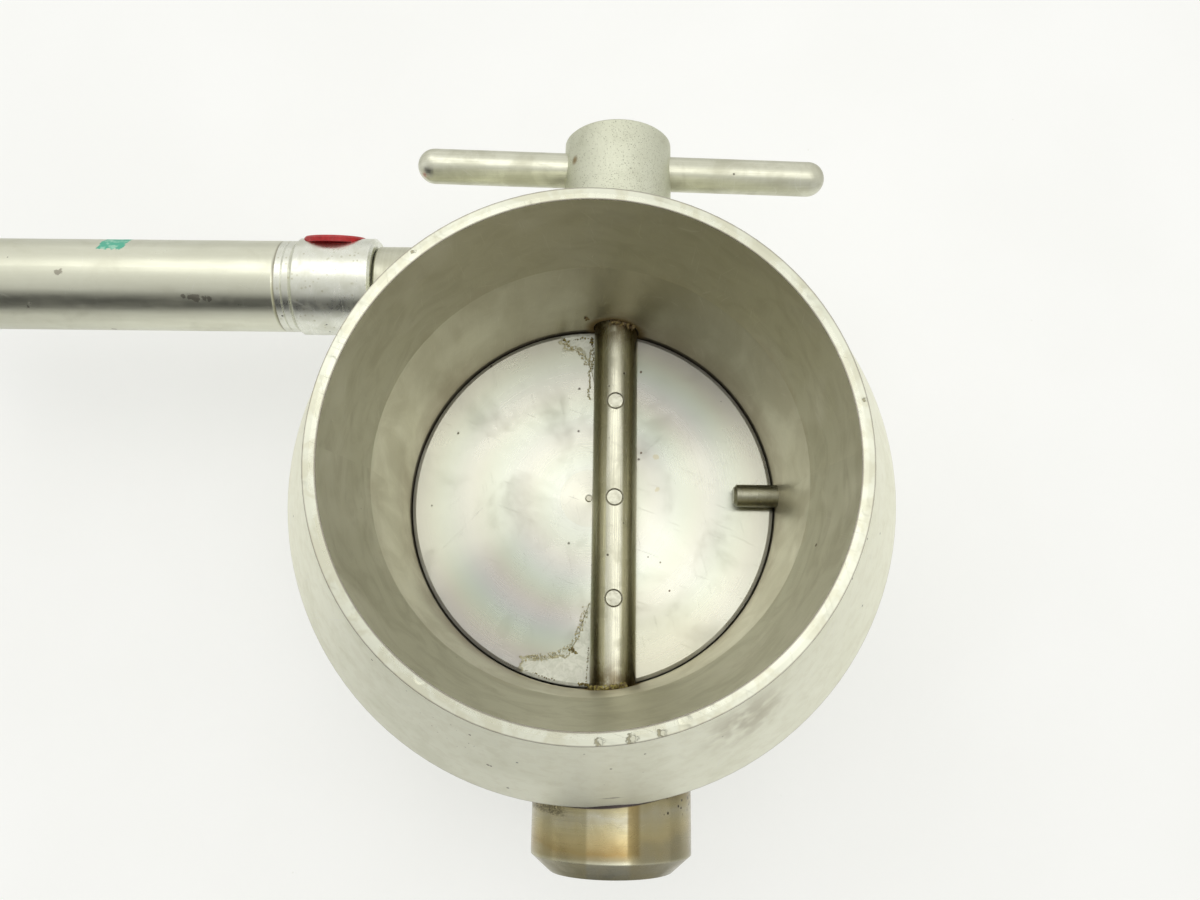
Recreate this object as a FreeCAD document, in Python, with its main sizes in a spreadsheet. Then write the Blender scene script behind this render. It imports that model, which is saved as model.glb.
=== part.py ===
import FreeCAD, Part
import math
import os

import Sketcher

# Butterfly valve with a rack-and-pinion air cylinder, in millimetres.
# Origin: centre of the lower rim face on the bore axis. +Z runs up the bore, +Y along the
# shaft towards the hand bar, and the air cylinder lies along -X.

doc = FreeCAD.newDocument("butterfly_valve")
sheet = doc.addObject("Spreadsheet::Sheet", "Sizes")

UPRIGHT = FreeCAD.Rotation()
DOWNWARD = FreeCAD.Rotation(FreeCAD.Vector(1, 0, 0), 180)
TO_TOP = FreeCAD.Rotation(FreeCAD.Vector(1, 0, 0), -90)
TO_FOOT = FreeCAD.Rotation(FreeCAD.Vector(1, 0, 0), 90)
TO_RIGHT = FreeCAD.Rotation(FreeCAD.Vector(0, 1, 0), 90)
TO_LEFT = FreeCAD.Rotation(FreeCAD.Vector(0, 1, 0), -90)


class Size:
    """A length together with the spreadsheet formula that gives it."""

    def __init__(self, number, formula):
        self.number = float(number)
        self.formula = formula

    def __add__(self, other):
        other = as_size(other)
        return Size(self.number + other.number, f"({self.formula} + {other.formula})")

    def __sub__(self, other):
        other = as_size(other)
        return Size(self.number - other.number, f"({self.formula} - {other.formula})")

    def __mul__(self, other):
        other = as_size(other)
        return Size(self.number * other.number, f"({self.formula} * {other.formula})")

    def __truediv__(self, other):
        other = as_size(other)
        return Size(self.number / other.number, f"({self.formula} / {other.formula})")

    def __neg__(self):
        return Size(-self.number, f"(0 - {self.formula})")

    def __radd__(self, other):
        return as_size(other) + self

    def __rsub__(self, other):
        return as_size(other) - self

    def __rmul__(self, other):
        return as_size(other) * self


def as_size(item):
    """A plain number used beside sizes."""
    return item if isinstance(item, Size) else Size(item, f"{float(item)}")


def slope(angle):
    """The tangent of an angle that the sheet holds in degrees."""
    return Size(math.tan(math.radians(angle.number)), f"tan({angle.formula} * 1 deg)")


def cell(name, number):
    """A driving dimension: one more aliased cell of the sheet."""
    cell.row += 1
    sheet.set(f"A{cell.row}", name)
    sheet.set(f"B{cell.row}", f"{number}")
    sheet.setAlias(f"B{cell.row}", name)
    return Size(number, f"Sizes.{name}")


cell.row = 0

# Valve body
face_to_face = cell("face_to_face", 135)
rim_radius = cell("rim_radius", 64)
rim_wall = cell("rim_wall", 3)
rim_lip = cell("rim_lip", 5)
flare_depth = cell("flare_depth", 43)
band_radius = cell("band_radius", 80.5)
cone_depth = cell("cone_depth", 24)
cone_radius = cell("cone_radius", 54.2)
throat_depth = cell("throat_depth", 64)
bore_radius = cell("bore_radius", 52.15)

# Shaft and what is on it
shaft_radius = cell("shaft_radius", 6.35)
shaft_side = cell("shaft_side", 6.3)
shaft_height = cell("shaft_height", 72)
shaft_in_hub = cell("shaft_in_hub", 12)
shaft_bevel = cell("shaft_bevel", 0.6)
flat_drop = cell("flat_drop", 2.5)
flat_margin = cell("flat_margin", 1.2)
disc_radius = cell("disc_radius", 51.7)
disc_thickness = cell("disc_thickness", 4)
disc_bevel = cell("disc_bevel", 1)
disc_bevel_depth = cell("disc_bevel_depth", 0.5)
disc_taper_depth = cell("disc_taper_depth", 1.5)
pin_radius = cell("pin_radius", 2.38)
pin_spacing = cell("pin_spacing", 28)
pin_bevel = cell("pin_bevel", 0.3)
running_gap = cell("running_gap", 0.03)
free_gap = cell("free_gap", 0.3)
cut_overrun = cell("cut_overrun", 1)

# Stop pin in the bore wall
stop_radius = cell("stop_radius", 3.175)
stop_reach = cell("stop_reach", 12.15)
stop_seat = cell("stop_seat", 12)
stop_bevel = cell("stop_bevel", 0.9)
stop_gap = cell("stop_gap", 0.2)
stop_rise = cell("stop_rise", 1.8)

# Bearings and seals, the same pair at both ends of the bore
bearing_radius = cell("bearing_radius", 11.1)
wall_left = cell("wall_left", 2.35)
seal_length = cell("seal_length", 3.5)
seal_notch = cell("seal_notch", 1.4)
upper_bushing_length = cell("upper_bushing_length", 6.6)
lower_bushing_length = cell("lower_bushing_length", 20)

# Lower bearing housing
boss_radius = cell("boss_radius", 21)
boss_lap = cell("boss_lap", 7.5)
boss_rise = cell("boss_rise", 17.3)
boss_bevel = cell("boss_bevel", 4.8)
boss_bevel_length = cell("boss_bevel_length", 4.2)
clip_radius = cell("clip_radius", 8.8)
clip_depth = cell("clip_depth", 0.85)
clip_thickness = cell("clip_thickness", 1.1)
washer_thickness = cell("washer_thickness", 1.6)
washer_radius = cell("washer_radius", 10)
plug_radius = cell("plug_radius", 12)
plug_length = cell("plug_length", 7.1)
shaft_end_gap = cell("shaft_end_gap", 0.1)
plug_recess = cell("plug_recess", 0.8)
socket_radius = cell("socket_radius", 4.6)
socket_depth = cell("socket_depth", 4)

# Rack and pinion
gear_module = cell("gear_module", 1.25)
gear_teeth = 20
pressure_angle = cell("pressure_angle", 20)
backlash = cell("backlash", 0.2)
tooth_root = cell("tooth_root", 1.25)
gear_face = cell("gear_face", 12)
gear_side_gap = cell("gear_side_gap", 0.6)
gear_room = cell("gear_room", 0.85)
gear_top_gap = cell("gear_top_gap", 2.8)
key_width = cell("key_width", 4)
key_length = cell("key_length", 10)
rack_radius = cell("rack_radius", 6.35)
rack_drop = cell("rack_drop", 16)
rack_bore_gap = cell("rack_bore_gap", 0.05)
rack_right = cell("rack_right", 26.2)
rack_left = cell("rack_left", 18.3)
rack_gap_count = 10

# Gear housing on the band
pad_radius = cell("pad_radius", 21)
gasket_thickness = cell("gasket_thickness", 0.5)
cover_thickness = cell("cover_thickness", 3.5)
cover_bevel = cell("cover_bevel", 0.6)
cover_bushing_wall = cell("cover_bushing_wall", 1.65)
screw_circle = cell("screw_circle", 18)
screw_radius = cell("screw_radius", 1.5)
screw_head_radius = cell("screw_head_radius", 2.75)
screw_head_length = cell("screw_head_length", 2.6)
screw_length = cell("screw_length", 5.4)
screw_socket = cell("screw_socket", 1.44)
cover_screw_count = 3
horn_radius = cell("horn_radius", 12.7)
horn_left = cell("horn_left", 52.3)
horn_right = cell("horn_right", 31.7)
rack_plug_radius = cell("rack_plug_radius", 8)
rack_plug_length = cell("rack_plug_length", 5)
rack_plug_flange = cell("rack_plug_flange", 10.5)
rack_plug_head = cell("rack_plug_head", 4)

# Neck between the horn and the air cylinder
neck_spigot_radius = cell("neck_spigot_radius", 8.5)
neck_spigot_length = cell("neck_spigot_length", 6)
neck_length = cell("neck_length", 22.6)
neck_bore = cell("neck_bore", 6.9)
neck_bevel = cell("neck_bevel", 0.6)
nose_radius = cell("nose_radius", 9.5)
nose_length = cell("nose_length", 11)
nose_end_gap = cell("nose_end_gap", 1)
neck_gap = cell("neck_gap", 0.3)

# Air cylinder
head_radius = cell("head_radius", 15.2)
front_head_length = cell("front_head_length", 29.3)
rear_head_length = cell("rear_head_length", 22)
head_bevel = cell("head_bevel", 0.8)
spigot_length = cell("spigot_length", 12)
tube_bore = cell("tube_bore", 13.5)
tube_wall = cell("tube_wall", 0.8)
tube_length = cell("tube_length", 105)
lip_length = cell("lip_length", 0.9)
lip_depth = cell("lip_depth", 0.45)
ring_pitch = cell("ring_pitch", 2.4)
ring_groove_width = cell("ring_groove_width", 0.5)
ring_groove_depth = cell("ring_groove_depth", 0.35)
ring_count = 2
rod_radius = cell("rod_radius", 4)
rod_thread_radius = cell("rod_thread_radius", 3)
rod_thread_length = cell("rod_thread_length", 9)
rod_bushing_wall = cell("rod_bushing_wall", 2.35)
rod_bushing_length = cell("rod_bushing_length", 14)
rod_seal_wall = cell("rod_seal_wall", 3)
rod_seal_length = cell("rod_seal_length", 5)
chamber_radius = cell("chamber_radius", 7.5)
port_radius = cell("port_radius", 4.1)
port_place = cell("port_place", 13.8)
port_turn = cell("port_turn", 20)
port_face = cell("port_face", 13.6)
port_spot_radius = cell("port_spot_radius", 9.9)
port_plug_radius = cell("port_plug_radius", 9.6)
port_plug_flange = cell("port_plug_flange", 1.9)
port_plug_length = cell("port_plug_length", 5)
rear_port_radius = cell("rear_port_radius", 4.3)
rear_port_depth = cell("rear_port_depth", 14)
rear_vent_radius = cell("rear_vent_radius", 2.5)
piston_start = cell("piston_start", 3)
piston_length = cell("piston_length", 12)
piston_gap = cell("piston_gap", 0.08)
piston_groove = cell("piston_groove", 2.1)
piston_seal_length = cell("piston_seal_length", 3.5)
piston_thread_radius = cell("piston_thread_radius", 2.5)
nut_radius = cell("nut_radius", 4.6)
nut_length = cell("nut_length", 4.5)
travel_stop_radius = cell("travel_stop_radius", 6.5)
travel_stop_gap = cell("travel_stop_gap", 0.4)
spring_radius = cell("spring_radius", 10.2)
spring_wire_width = cell("spring_wire_width", 2.6)
spring_wire_height = cell("spring_wire_height", 2.2)
spring_coil_count = 7

# Hand bar and its hub
hub_radius = cell("hub_radius", 16.3)
hub_gap = cell("hub_gap", 1)
hub_height = cell("hub_height", 27)
hub_bevel = cell("hub_bevel", 0.5)
bar_radius = cell("bar_radius", 5.25)
bar_length = cell("bar_length", 125.6)
bar_rise = cell("bar_rise", 18.3)
bar_shift = cell("bar_shift", 1.5)
bar_turn = cell("bar_turn", 3)
set_screw_radius = cell("set_screw_radius", 2.5)
set_screw_rise = cell("set_screw_rise", 6)
set_screw_recess = cell("set_screw_recess", 0.8)

# Places worked out from the sizes above
pitch_radius = gear_module * gear_teeth / 2
tip_radius = pitch_radius + gear_module
root_radius = pitch_radius - gear_module * tooth_root
rack_height = shaft_height - rack_drop
seal_start = bore_radius + wall_left
gear_floor = seal_start + seal_length + upper_bushing_length
gear_start = gear_floor + gear_side_gap
rack_place = gear_start + gear_face / 2
pad_top = gear_start + gear_face + gear_top_gap
cover_foot = pad_top + gasket_thickness
cover_top = cover_foot + cover_thickness
boss_seat = seal_start + boss_lap
boss_end = band_radius + boss_rise
plug_start = boss_end - plug_recess - plug_length
shaft_foot = plug_start - washer_thickness - shaft_end_gap
disc_top = shaft_height - flat_drop
disc_foot = disc_top - disc_thickness
horn_start = shaft_side - horn_left
horn_end = shaft_side + horn_right
neck_start = horn_start + neck_spigot_length
head_face = horn_start - neck_length - neck_gap
nose_start = head_face + nose_length
tube_start = head_face - front_head_length
front_spigot_end = tube_start - spigot_length
tube_end = tube_start - tube_length
rear_spigot_end = tube_end + spigot_length
piston_face = front_spigot_end - piston_start
piston_back = piston_face - piston_length
nut_end = piston_back - nut_length
rack_travel = pitch_radius * math.pi / 2
hub_foot = cover_top + hub_gap
hub_top = hub_foot + hub_height
shaft_top = hub_foot + shaft_in_hub
bar_place = hub_foot + bar_rise


def place(item, turn, x, y, z):
    """Put an object's own origin at x, y, z with its own Z axis turned."""
    x, y, z = as_size(x), as_size(y), as_size(z)
    item.Placement = FreeCAD.Placement(FreeCAD.Vector(x.number, y.number, z.number), turn)
    item.setExpression("Placement.Base.x", x.formula)
    item.setExpression("Placement.Base.y", y.formula)
    item.setExpression("Placement.Base.z", z.formula)
    return item


def turn_by(item, axis, degrees):
    """Turn a placed object about an axis by an angle that the sheet gives."""
    turn = FreeCAD.Rotation(axis, degrees.number)
    item.Placement = FreeCAD.Placement(item.Placement.Base, turn)
    item.setExpression("Placement.Rotation.Angle", degrees.formula)
    return item


def new_sketch(body, name, role):
    """A sketch on one of the body's own origin planes."""
    sketch = body.newObject("Sketcher::SketchObject", name)
    plane = [item for item in body.Origin.OriginFeatures if item.Role == role][0]
    sketch.AttachmentSupport = [(plane, "")]
    sketch.MapMode = "FlatFace"
    return sketch


def fix_point(sketch, line, kind, axis_line, size):
    """Hold a line's first point at a signed distance from the sketch's origin."""
    if size.number == 0:
        sketch.addConstraint(Sketcher.Constraint("PointOnObject", line, 1, axis_line))
        return
    if size.number > 0:
        rule = Sketcher.Constraint(kind, -1, 1, line, 1, size.number)
        formula = size.formula
    else:
        rule = Sketcher.Constraint(kind, line, 1, -1, 1, -size.number)
        formula = f"0 - {size.formula}"
    index = sketch.addConstraint(rule)
    sketch.setExpression(f"Constraints[{index}]", formula)


def draw_outline(sketch, corners):
    """A closed outline of straight lines, every corner bound to its two sizes."""
    corners = [(as_size(across), as_size(along)) for across, along in corners]
    points = [FreeCAD.Vector(across.number, along.number, 0) for across, along in corners]
    count = len(points)
    for line in range(count):
        sketch.addGeometry(Part.LineSegment(points[line], points[(line + 1) % count]))
    for line in range(count):
        sketch.addConstraint(Sketcher.Constraint("Coincident", line, 2, (line + 1) % count, 1))
    for line, (across, along) in enumerate(corners):
        fix_point(sketch, line, "DistanceX", -2, across)
        fix_point(sketch, line, "DistanceY", -1, along)


def turned(name, corners, turn, x, y, z):
    """A solid of revolution about its own Z axis, from (radius, height) corners."""
    body = doc.addObject("PartDesign::Body", name)
    sketch = new_sketch(body, name + "_outline", "XZ_Plane")
    draw_outline(sketch, corners)
    spin = body.newObject("PartDesign::Revolution", name + "_turned")
    spin.Profile = sketch
    spin.ReferenceAxis = (sketch, ["V_Axis"])
    spin.Angle = 360
    body.Tip = spin
    return place(body, turn, x, y, z)


def rod(name, radius, length, turn, x, y, z):
    """A plain cylinder along its own Z axis."""
    item = doc.addObject("Part::Cylinder", name)
    item.setExpression("Radius", as_size(radius).formula)
    item.setExpression("Height", as_size(length).formula)
    return place(item, turn, x, y, z)


def block(name, low, high):
    """A box between two opposite corners."""
    low = [as_size(item) for item in low]
    high = [as_size(item) for item in high]
    item = doc.addObject("Part::Box", name)
    for side, start, end in zip(("Length", "Width", "Height"), low, high):
        item.setExpression(side, (end - start).formula)
    return place(item, UPRIGHT, *low)


def ring(name, inner, outer, length, turn, x, y, z):
    """A plain sleeve along its own Z axis."""
    corners = [(inner, 0), (outer, 0), (outer, length), (inner, length)]
    return turned(name, corners, turn, x, y, z)


def hexagon(name, radius, length, turn, x, y, z):
    """A six-sided bar, for sockets and nuts."""
    item = doc.addObject("Part::Prism", name)
    item.Polygon = 6
    item.setExpression("Circumradius", as_size(radius).formula)
    item.setExpression("Height", as_size(length).formula)
    return place(item, turn, x, y, z)


def fused(name, items):
    """Several solids joined into one."""
    item = doc.addObject("Part::MultiFuse", name)
    item.Shapes = items
    item.Refine = False
    return item


def cut(name, blank, cutters):
    """A blank with cutters taken from it, one after another."""
    last = len(cutters) - 1
    for number, tool in enumerate(cutters):
        item = doc.addObject("Part::Cut", name if number == last else f"{name}_cut_{number}")
        item.Base = blank
        item.Tool = tool
        item.Refine = False
        blank = item
    return blank


def grouped(name, items):
    """Separate identical solids kept together."""
    item = doc.addObject("Part::Compound", name)
    item.Links = items
    return item


def along_shaft(name, inner, outer, start, end):
    """A sleeve round the shaft, from start to end along +Y or, below zero, along -Y."""
    length = end - start
    if length.number > 0:
        return ring(name, inner, outer, length, TO_TOP, shaft_side, start, shaft_height)
    return ring(name, inner, outer, -length, TO_FOOT, shaft_side, start, shaft_height)


def valve_body():
    """The turned ring with its flared ends, the gear housing and all its bores."""
    outline = [
        (rim_radius - rim_wall, 0),
        (rim_radius, 0),
        (rim_radius, rim_lip),
        (band_radius, flare_depth),
        (band_radius, face_to_face - flare_depth),
        (rim_radius, face_to_face - rim_lip),
        (rim_radius, face_to_face),
        (rim_radius - rim_wall, face_to_face),
        (cone_radius, face_to_face - cone_depth),
        (bore_radius, face_to_face - throat_depth),
        (bore_radius, throat_depth),
        (cone_radius, cone_depth),
    ]
    shell = turned("valve_body_shell", outline, UPRIGHT, 0, 0, 0)
    pad_start = rack_place - horn_radius
    pad = rod("gear_pad", pad_radius, pad_top - pad_start, TO_TOP,
              shaft_side, pad_start, shaft_height)
    horn = rod("gear_horn", horn_radius, horn_left + horn_right, TO_RIGHT,
               horn_start, rack_place, rack_height)
    mill = block("gear_mill",
                 (horn_start - cut_overrun, pad_top, rack_height - horn_radius - cut_overrun),
                 (horn_end + cut_overrun, pad_top + horn_radius,
                  rack_height + horn_radius + cut_overrun))
    blank = fused("valve_body_blank", [shell, pad, cut("gear_horn_milled", horn, [mill])])

    shaft_hole = shaft_radius + free_gap
    gear_pocket = tip_radius + gear_room
    inside = bore_radius - shaft_side
    cutters = [
        rod("upper_shaft_hole", shaft_hole, seal_start - inside + cut_overrun, TO_TOP,
            shaft_side, inside, shaft_height),
        rod("upper_bearing_bore", bearing_radius, gear_floor - seal_start + cut_overrun,
            TO_TOP, shaft_side, seal_start, shaft_height),
        rod("gear_pocket", gear_pocket, pad_top - gear_floor + cut_overrun, TO_TOP,
            shaft_side, gear_floor, shaft_height),
        rod("lower_shaft_hole", shaft_hole, seal_start - inside + cut_overrun, TO_FOOT,
            shaft_side, -inside, shaft_height),
        rod("lower_bearing_bore", bearing_radius, boss_seat - seal_start + cut_overrun,
            TO_FOOT, shaft_side, -seal_start, shaft_height),
        rod("boss_seat_bore", boss_radius, band_radius - boss_seat + cut_overrun, TO_FOOT,
            shaft_side, -boss_seat, shaft_height),
        rod("pad_face", pad_radius + free_gap, band_radius, TO_TOP,
            shaft_side, pad_top, shaft_height),
        rod("neck_face", horn_radius + free_gap, band_radius, TO_LEFT,
            horn_start, rack_place, rack_height),
        rod("rack_plug_face", rack_plug_flange + free_gap, band_radius, TO_RIGHT,
            horn_end, rack_place, rack_height),
        rod("rack_bore", rack_radius + rack_bore_gap, horn_left + horn_right, TO_RIGHT,
            horn_start, rack_place, rack_height),
        rod("neck_seat", neck_spigot_radius, neck_spigot_length + cut_overrun, TO_RIGHT,
            horn_start - cut_overrun, rack_place, rack_height),
        rod("rack_plug_seat", rack_plug_radius, rack_plug_length + cut_overrun, TO_LEFT,
            horn_end + cut_overrun, rack_place, rack_height),
        rod("stop_pin_seat", stop_radius, stop_seat + stop_reach, TO_RIGHT,
            bore_radius - stop_reach, stop_rise, disc_top + stop_gap + stop_radius),
    ]
    cutters += cover_screw_holes("pad", screw_radius, cover_top - screw_length
                                 - screw_head_length, gasket_thickness + cover_thickness)
    return cut("valve_body", blank, cutters)


def screw_places():
    """The cover screws' places round the shaft, the first on the +Z side."""
    places = []
    for number in range(cover_screw_count):
        turn = math.radians(90 + 360 * number / cover_screw_count)
        places.append((shaft_side + screw_circle * round(math.cos(turn), 6),
                       shaft_height + screw_circle * round(math.sin(turn), 6)))
    return places


def cover_screw_holes(name, radius, start, spare):
    """Holes along +Y for the cover screws, from start to past the cover's top."""
    holes = []
    for number, (x, z) in enumerate(screw_places()):
        holes.append(rod(f"{name}_screw_hole_{number}", radius, cover_top - start + spare,
                         TO_TOP, x, start, z))
    return holes


def stop_pin():
    """The pin in the wall that the closed disc rests against."""
    length = stop_reach + stop_seat
    outline = [
        (0, 0),
        (stop_radius - stop_bevel, 0),
        (stop_radius, stop_bevel),
        (stop_radius, length),
        (0, length),
    ]
    return turned("stop_pin", outline, TO_RIGHT,
                  bore_radius - stop_reach, stop_rise, disc_top + stop_gap + stop_radius)


def lip_seal(name, turn, start):
    """A shaft seal: a ring with a notch that leaves a lip on the shaft."""
    inner = shaft_radius + running_gap
    middle = (inner + bearing_radius) / 2
    outline = [
        (inner, 0),
        (middle - seal_notch, 0),
        (middle - seal_notch / 2, seal_length / 2),
        (middle + seal_notch / 2, seal_length / 2),
        (middle + seal_notch, 0),
        (bearing_radius, 0),
        (bearing_radius, seal_length),
        (inner, seal_length),
    ]
    return turned(name, outline, turn, shaft_side, start, shaft_height)


def lower_bearing_housing():
    """The welded boss at the foot of the shaft, bored through, with a bevelled end."""
    length = boss_end - boss_seat
    plug_seat = length - plug_length - plug_recess
    outline = [
        (bearing_radius, 0),
        (boss_radius, 0),
        (boss_radius, length - boss_bevel_length),
        (boss_radius - boss_bevel, length),
        (plug_radius, length),
        (plug_radius, plug_seat),
        (bearing_radius, plug_seat),
    ]
    return turned("lower_bearing_housing", outline, TO_FOOT,
                  shaft_side, -boss_seat, shaft_height)


def boss_end_plug():
    """The screwed plug that closes the boss, with a hexagon socket."""
    blank = rod("boss_end_plug_blank", plug_radius, plug_length, TO_FOOT,
                shaft_side, -plug_start, shaft_height)
    socket = hexagon("boss_end_plug_socket", socket_radius, socket_depth + cut_overrun, TO_FOOT,
                     shaft_side, -(plug_start + plug_length - socket_depth), shaft_height)
    return cut("boss_end_plug", blank, [socket])


def shaft():
    """The shaft: flat for the disc, pin holes, keyway and a groove for the clip."""
    clip_start = seal_start + seal_length + lower_bushing_length + free_gap
    groove_foot = shaft_foot - clip_start - clip_thickness
    groove_top = shaft_foot - clip_start
    length = shaft_foot + shaft_top
    outline = [
        (0, 0),
        (shaft_radius - shaft_bevel, 0),
        (shaft_radius, shaft_bevel),
        (shaft_radius, groove_foot),
        (shaft_radius - clip_depth, groove_foot),
        (shaft_radius - clip_depth, groove_top),
        (shaft_radius, groove_top),
        (shaft_radius, length - shaft_bevel),
        (shaft_radius - shaft_bevel, length),
        (0, length),
    ]
    blank = turned("shaft_blank", outline, TO_TOP, shaft_side, -shaft_foot, shaft_height)
    reach = disc_radius + flat_margin / 2
    flat = block("shaft_flat",
                 (shaft_side - shaft_radius - cut_overrun, -reach,
                  shaft_height - shaft_radius - cut_overrun),
                 (shaft_side + shaft_radius + cut_overrun, reach, disc_top))
    return cut("shaft", blank, [flat, key_space("shaft_keyway")] + pin_holes("shaft"))


def key_space(name):
    """The room that the key fills, half in the shaft and half in the pinion."""
    half = key_width / 2
    start = rack_place - key_length / 2
    return block(name,
                 (shaft_side - half, start, shaft_height + shaft_radius - half),
                 (shaft_side + half, start + key_length, shaft_height + shaft_radius + half))


def pin_places():
    """The three disc pins' places along the shaft."""
    return [pin_spacing * number for number in (-1, 0, 1)]


def pin_holes(name):
    """Holes for the disc pins, right through disc and shaft."""
    length = disc_thickness + flat_drop + shaft_radius + cut_overrun * 2
    return [rod(f"{name}_pin_hole_{number}", pin_radius, length, UPRIGHT,
                shaft_side, y, disc_foot - cut_overrun)
            for number, y in enumerate(pin_places())]


def disc():
    """The round plate, its foot tapered to swing clear of the bore, drilled for the pins."""
    outline = [
        (0, 0),
        (disc_radius - disc_bevel, 0),
        (disc_radius, disc_taper_depth),
        (disc_radius, disc_thickness - disc_bevel_depth),
        (disc_radius - disc_bevel, disc_thickness),
        (0, disc_thickness),
    ]
    blank = turned("disc_blank", outline, UPRIGHT, 0, 0, disc_foot)
    return cut("disc", blank, pin_holes("disc"))


def disc_pins():
    """The pins that hold the disc on the shaft's flat."""
    length = disc_thickness + flat_drop + shaft_radius
    outline = [
        (0, 0),
        (pin_radius, 0),
        (pin_radius, length - pin_bevel),
        (pin_radius - pin_bevel, length),
        (0, length),
    ]
    pins = [turned(f"disc_pin_{number}", outline, UPRIGHT, shaft_side, y, disc_foot)
            for number, y in enumerate(pin_places())]
    return grouped("disc_pins", pins)


def involute(base, radius):
    """The turn, in radians, of an involute of a base circle at a radius."""
    steep = math.sqrt((radius / base) ** 2 - 1)
    return steep - math.atan(steep)


def flank(base, start_turn, side, low, high):
    """One side of a tooth, an involute from the low to the high radius."""
    points = []
    for step in range(5):
        radius = low + (high - low) * step / 4
        turn = start_turn - side * involute(base, max(radius, base))
        points.append(FreeCAD.Vector(radius * math.cos(turn), radius * math.sin(turn), 0))
    return points


def pinion():
    """The pinion: involute teeth round a bore with a keyway, one tooth on the rack's side."""
    pitch, tip, root = pitch_radius.number, tip_radius.number, root_radius.number
    base = pitch * math.cos(math.radians(pressure_angle.number))
    low = max(base, root)
    step = 2 * math.pi / gear_teeth
    half_tooth = (math.pi * gear_module.number / 2 - backlash.number / 2) / 2 / pitch
    half_foot = half_tooth + involute(base, pitch)
    toward_rack = math.pi / 2
    edges = []
    for number in range(gear_teeth):
        middle = toward_rack + number * step
        rise = flank(base, middle - half_foot, -1, low, tip)
        fall = flank(base, middle + half_foot, 1, low, tip)
        rise_root = FreeCAD.Vector(rise[0]).normalize() * root
        fall_root = FreeCAD.Vector(fall[0]).normalize() * root
        next_turn = middle + step - half_foot
        next_root = FreeCAD.Vector(math.cos(next_turn), math.sin(next_turn), 0) * root
        top = FreeCAD.Vector(math.cos(middle), math.sin(middle), 0) * tip
        valley = FreeCAD.Vector(math.cos(middle + step / 2), math.sin(middle + step / 2), 0)
        rising, falling = Part.BSplineCurve(), Part.BSplineCurve()
        rising.interpolate(rise)
        falling.interpolate(fall[::-1])
        edges += [
            Part.LineSegment(rise_root, rise[0]).toShape(),
            rising.toShape(),
            Part.Arc(rise[-1], top, fall[-1]).toShape(),
            falling.toShape(),
            Part.LineSegment(fall[0], fall_root).toShape(),
            Part.Arc(fall_root, valley * root, next_root).toShape(),
        ]
    wheel = Part.Face(Part.Wire(edges)).extrude(FreeCAD.Vector(0, 0, gear_face.number))
    blank = doc.addObject("Part::Feature", "pinion_blank")
    blank.Shape = wheel
    place(blank, TO_TOP, shaft_side, gear_start, shaft_height)
    bore = rod("pinion_bore", shaft_radius, gear_face + cut_overrun * 2, TO_TOP,
               shaft_side, gear_start - cut_overrun, shaft_height)
    return cut("pinion", blank, [bore, key_space("pinion_keyway")])


def rack():
    """A round bar with a toothed flat, drilled at its left end for the rod."""
    body = doc.addObject("PartDesign::Body", "rack")
    section = new_sketch(body, "rack_section", "YZ_Plane")
    section.addGeometry(Part.Circle(FreeCAD.Vector(0, 0, 0), FreeCAD.Vector(0, 0, 1),
                                    rack_radius.number))
    section.addConstraint(Sketcher.Constraint("Coincident", 0, 3, -1, 1))
    size = section.addConstraint(Sketcher.Constraint("Radius", 0, rack_radius.number))
    section.setExpression(f"Constraints[{size}]", rack_radius.formula)
    bar = body.newObject("PartDesign::Pad", "rack_bar")
    bar.Profile = section
    bar.setExpression("Length", (rack_left + rack_right).formula)

    tooth_tip = rack_drop - pitch_radius + gear_module
    side = new_sketch(body, "rack_flat_outline", "XZ_Plane")
    draw_outline(side, [
        (-cut_overrun, tooth_tip),
        (rack_left + rack_right + cut_overrun, tooth_tip),
        (rack_left + rack_right + cut_overrun, rack_radius + cut_overrun),
        (-cut_overrun, rack_radius + cut_overrun),
    ])
    flat = body.newObject("PartDesign::Pocket", "rack_flat")
    flat.Profile = side
    flat.Type = "ThroughAll"
    flat.Midplane = True

    # Two gaps lie left of the pinion's lowest tooth, and the others follow at the pitch.
    pitch = gear_module * math.pi
    start = rack_left - pitch * 2
    half = (pitch / 2 + backlash / 2) / 2
    lean = slope(pressure_angle)
    root = tooth_tip - gear_module - gear_module * tooth_root
    gap = new_sketch(body, "rack_gap_outline", "XZ_Plane")
    draw_outline(gap, [
        (start - half - (gear_module + cut_overrun) * lean, tooth_tip + cut_overrun),
        (start - half + gear_module * tooth_root * lean, root),
        (start + half - gear_module * tooth_root * lean, root),
        (start + half + (gear_module + cut_overrun) * lean, tooth_tip + cut_overrun),
    ])
    first = body.newObject("PartDesign::Pocket", "rack_gap")
    first.Profile = gap
    first.Type = "ThroughAll"
    first.Midplane = True
    row = body.newObject("PartDesign::LinearPattern", "rack_teeth")
    row.Originals = [first]
    row.Direction = (gap, ["H_Axis"])
    row.Occurrences = rack_gap_count
    row.setExpression("Length", (pitch * (rack_gap_count - 1)).formula)
    body.Tip = row

    hole = new_sketch(body, "rack_hole_section", "YZ_Plane")
    hole.addGeometry(Part.Circle(FreeCAD.Vector(0, 0, 0), FreeCAD.Vector(0, 0, 1),
                                 rod_thread_radius.number))
    hole.addConstraint(Sketcher.Constraint("Coincident", 0, 3, -1, 1))
    size = hole.addConstraint(Sketcher.Constraint("Radius", 0, rod_thread_radius.number))
    hole.setExpression(f"Constraints[{size}]", rod_thread_radius.formula)
    drill = body.newObject("PartDesign::Pocket", "rack_hole")
    drill.Profile = hole
    drill.Reversed = True
    drill.setExpression("Length", rod_thread_length.formula)
    body.Tip = drill
    return place(body, UPRIGHT, shaft_side - rack_left, rack_place, rack_height)


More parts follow.
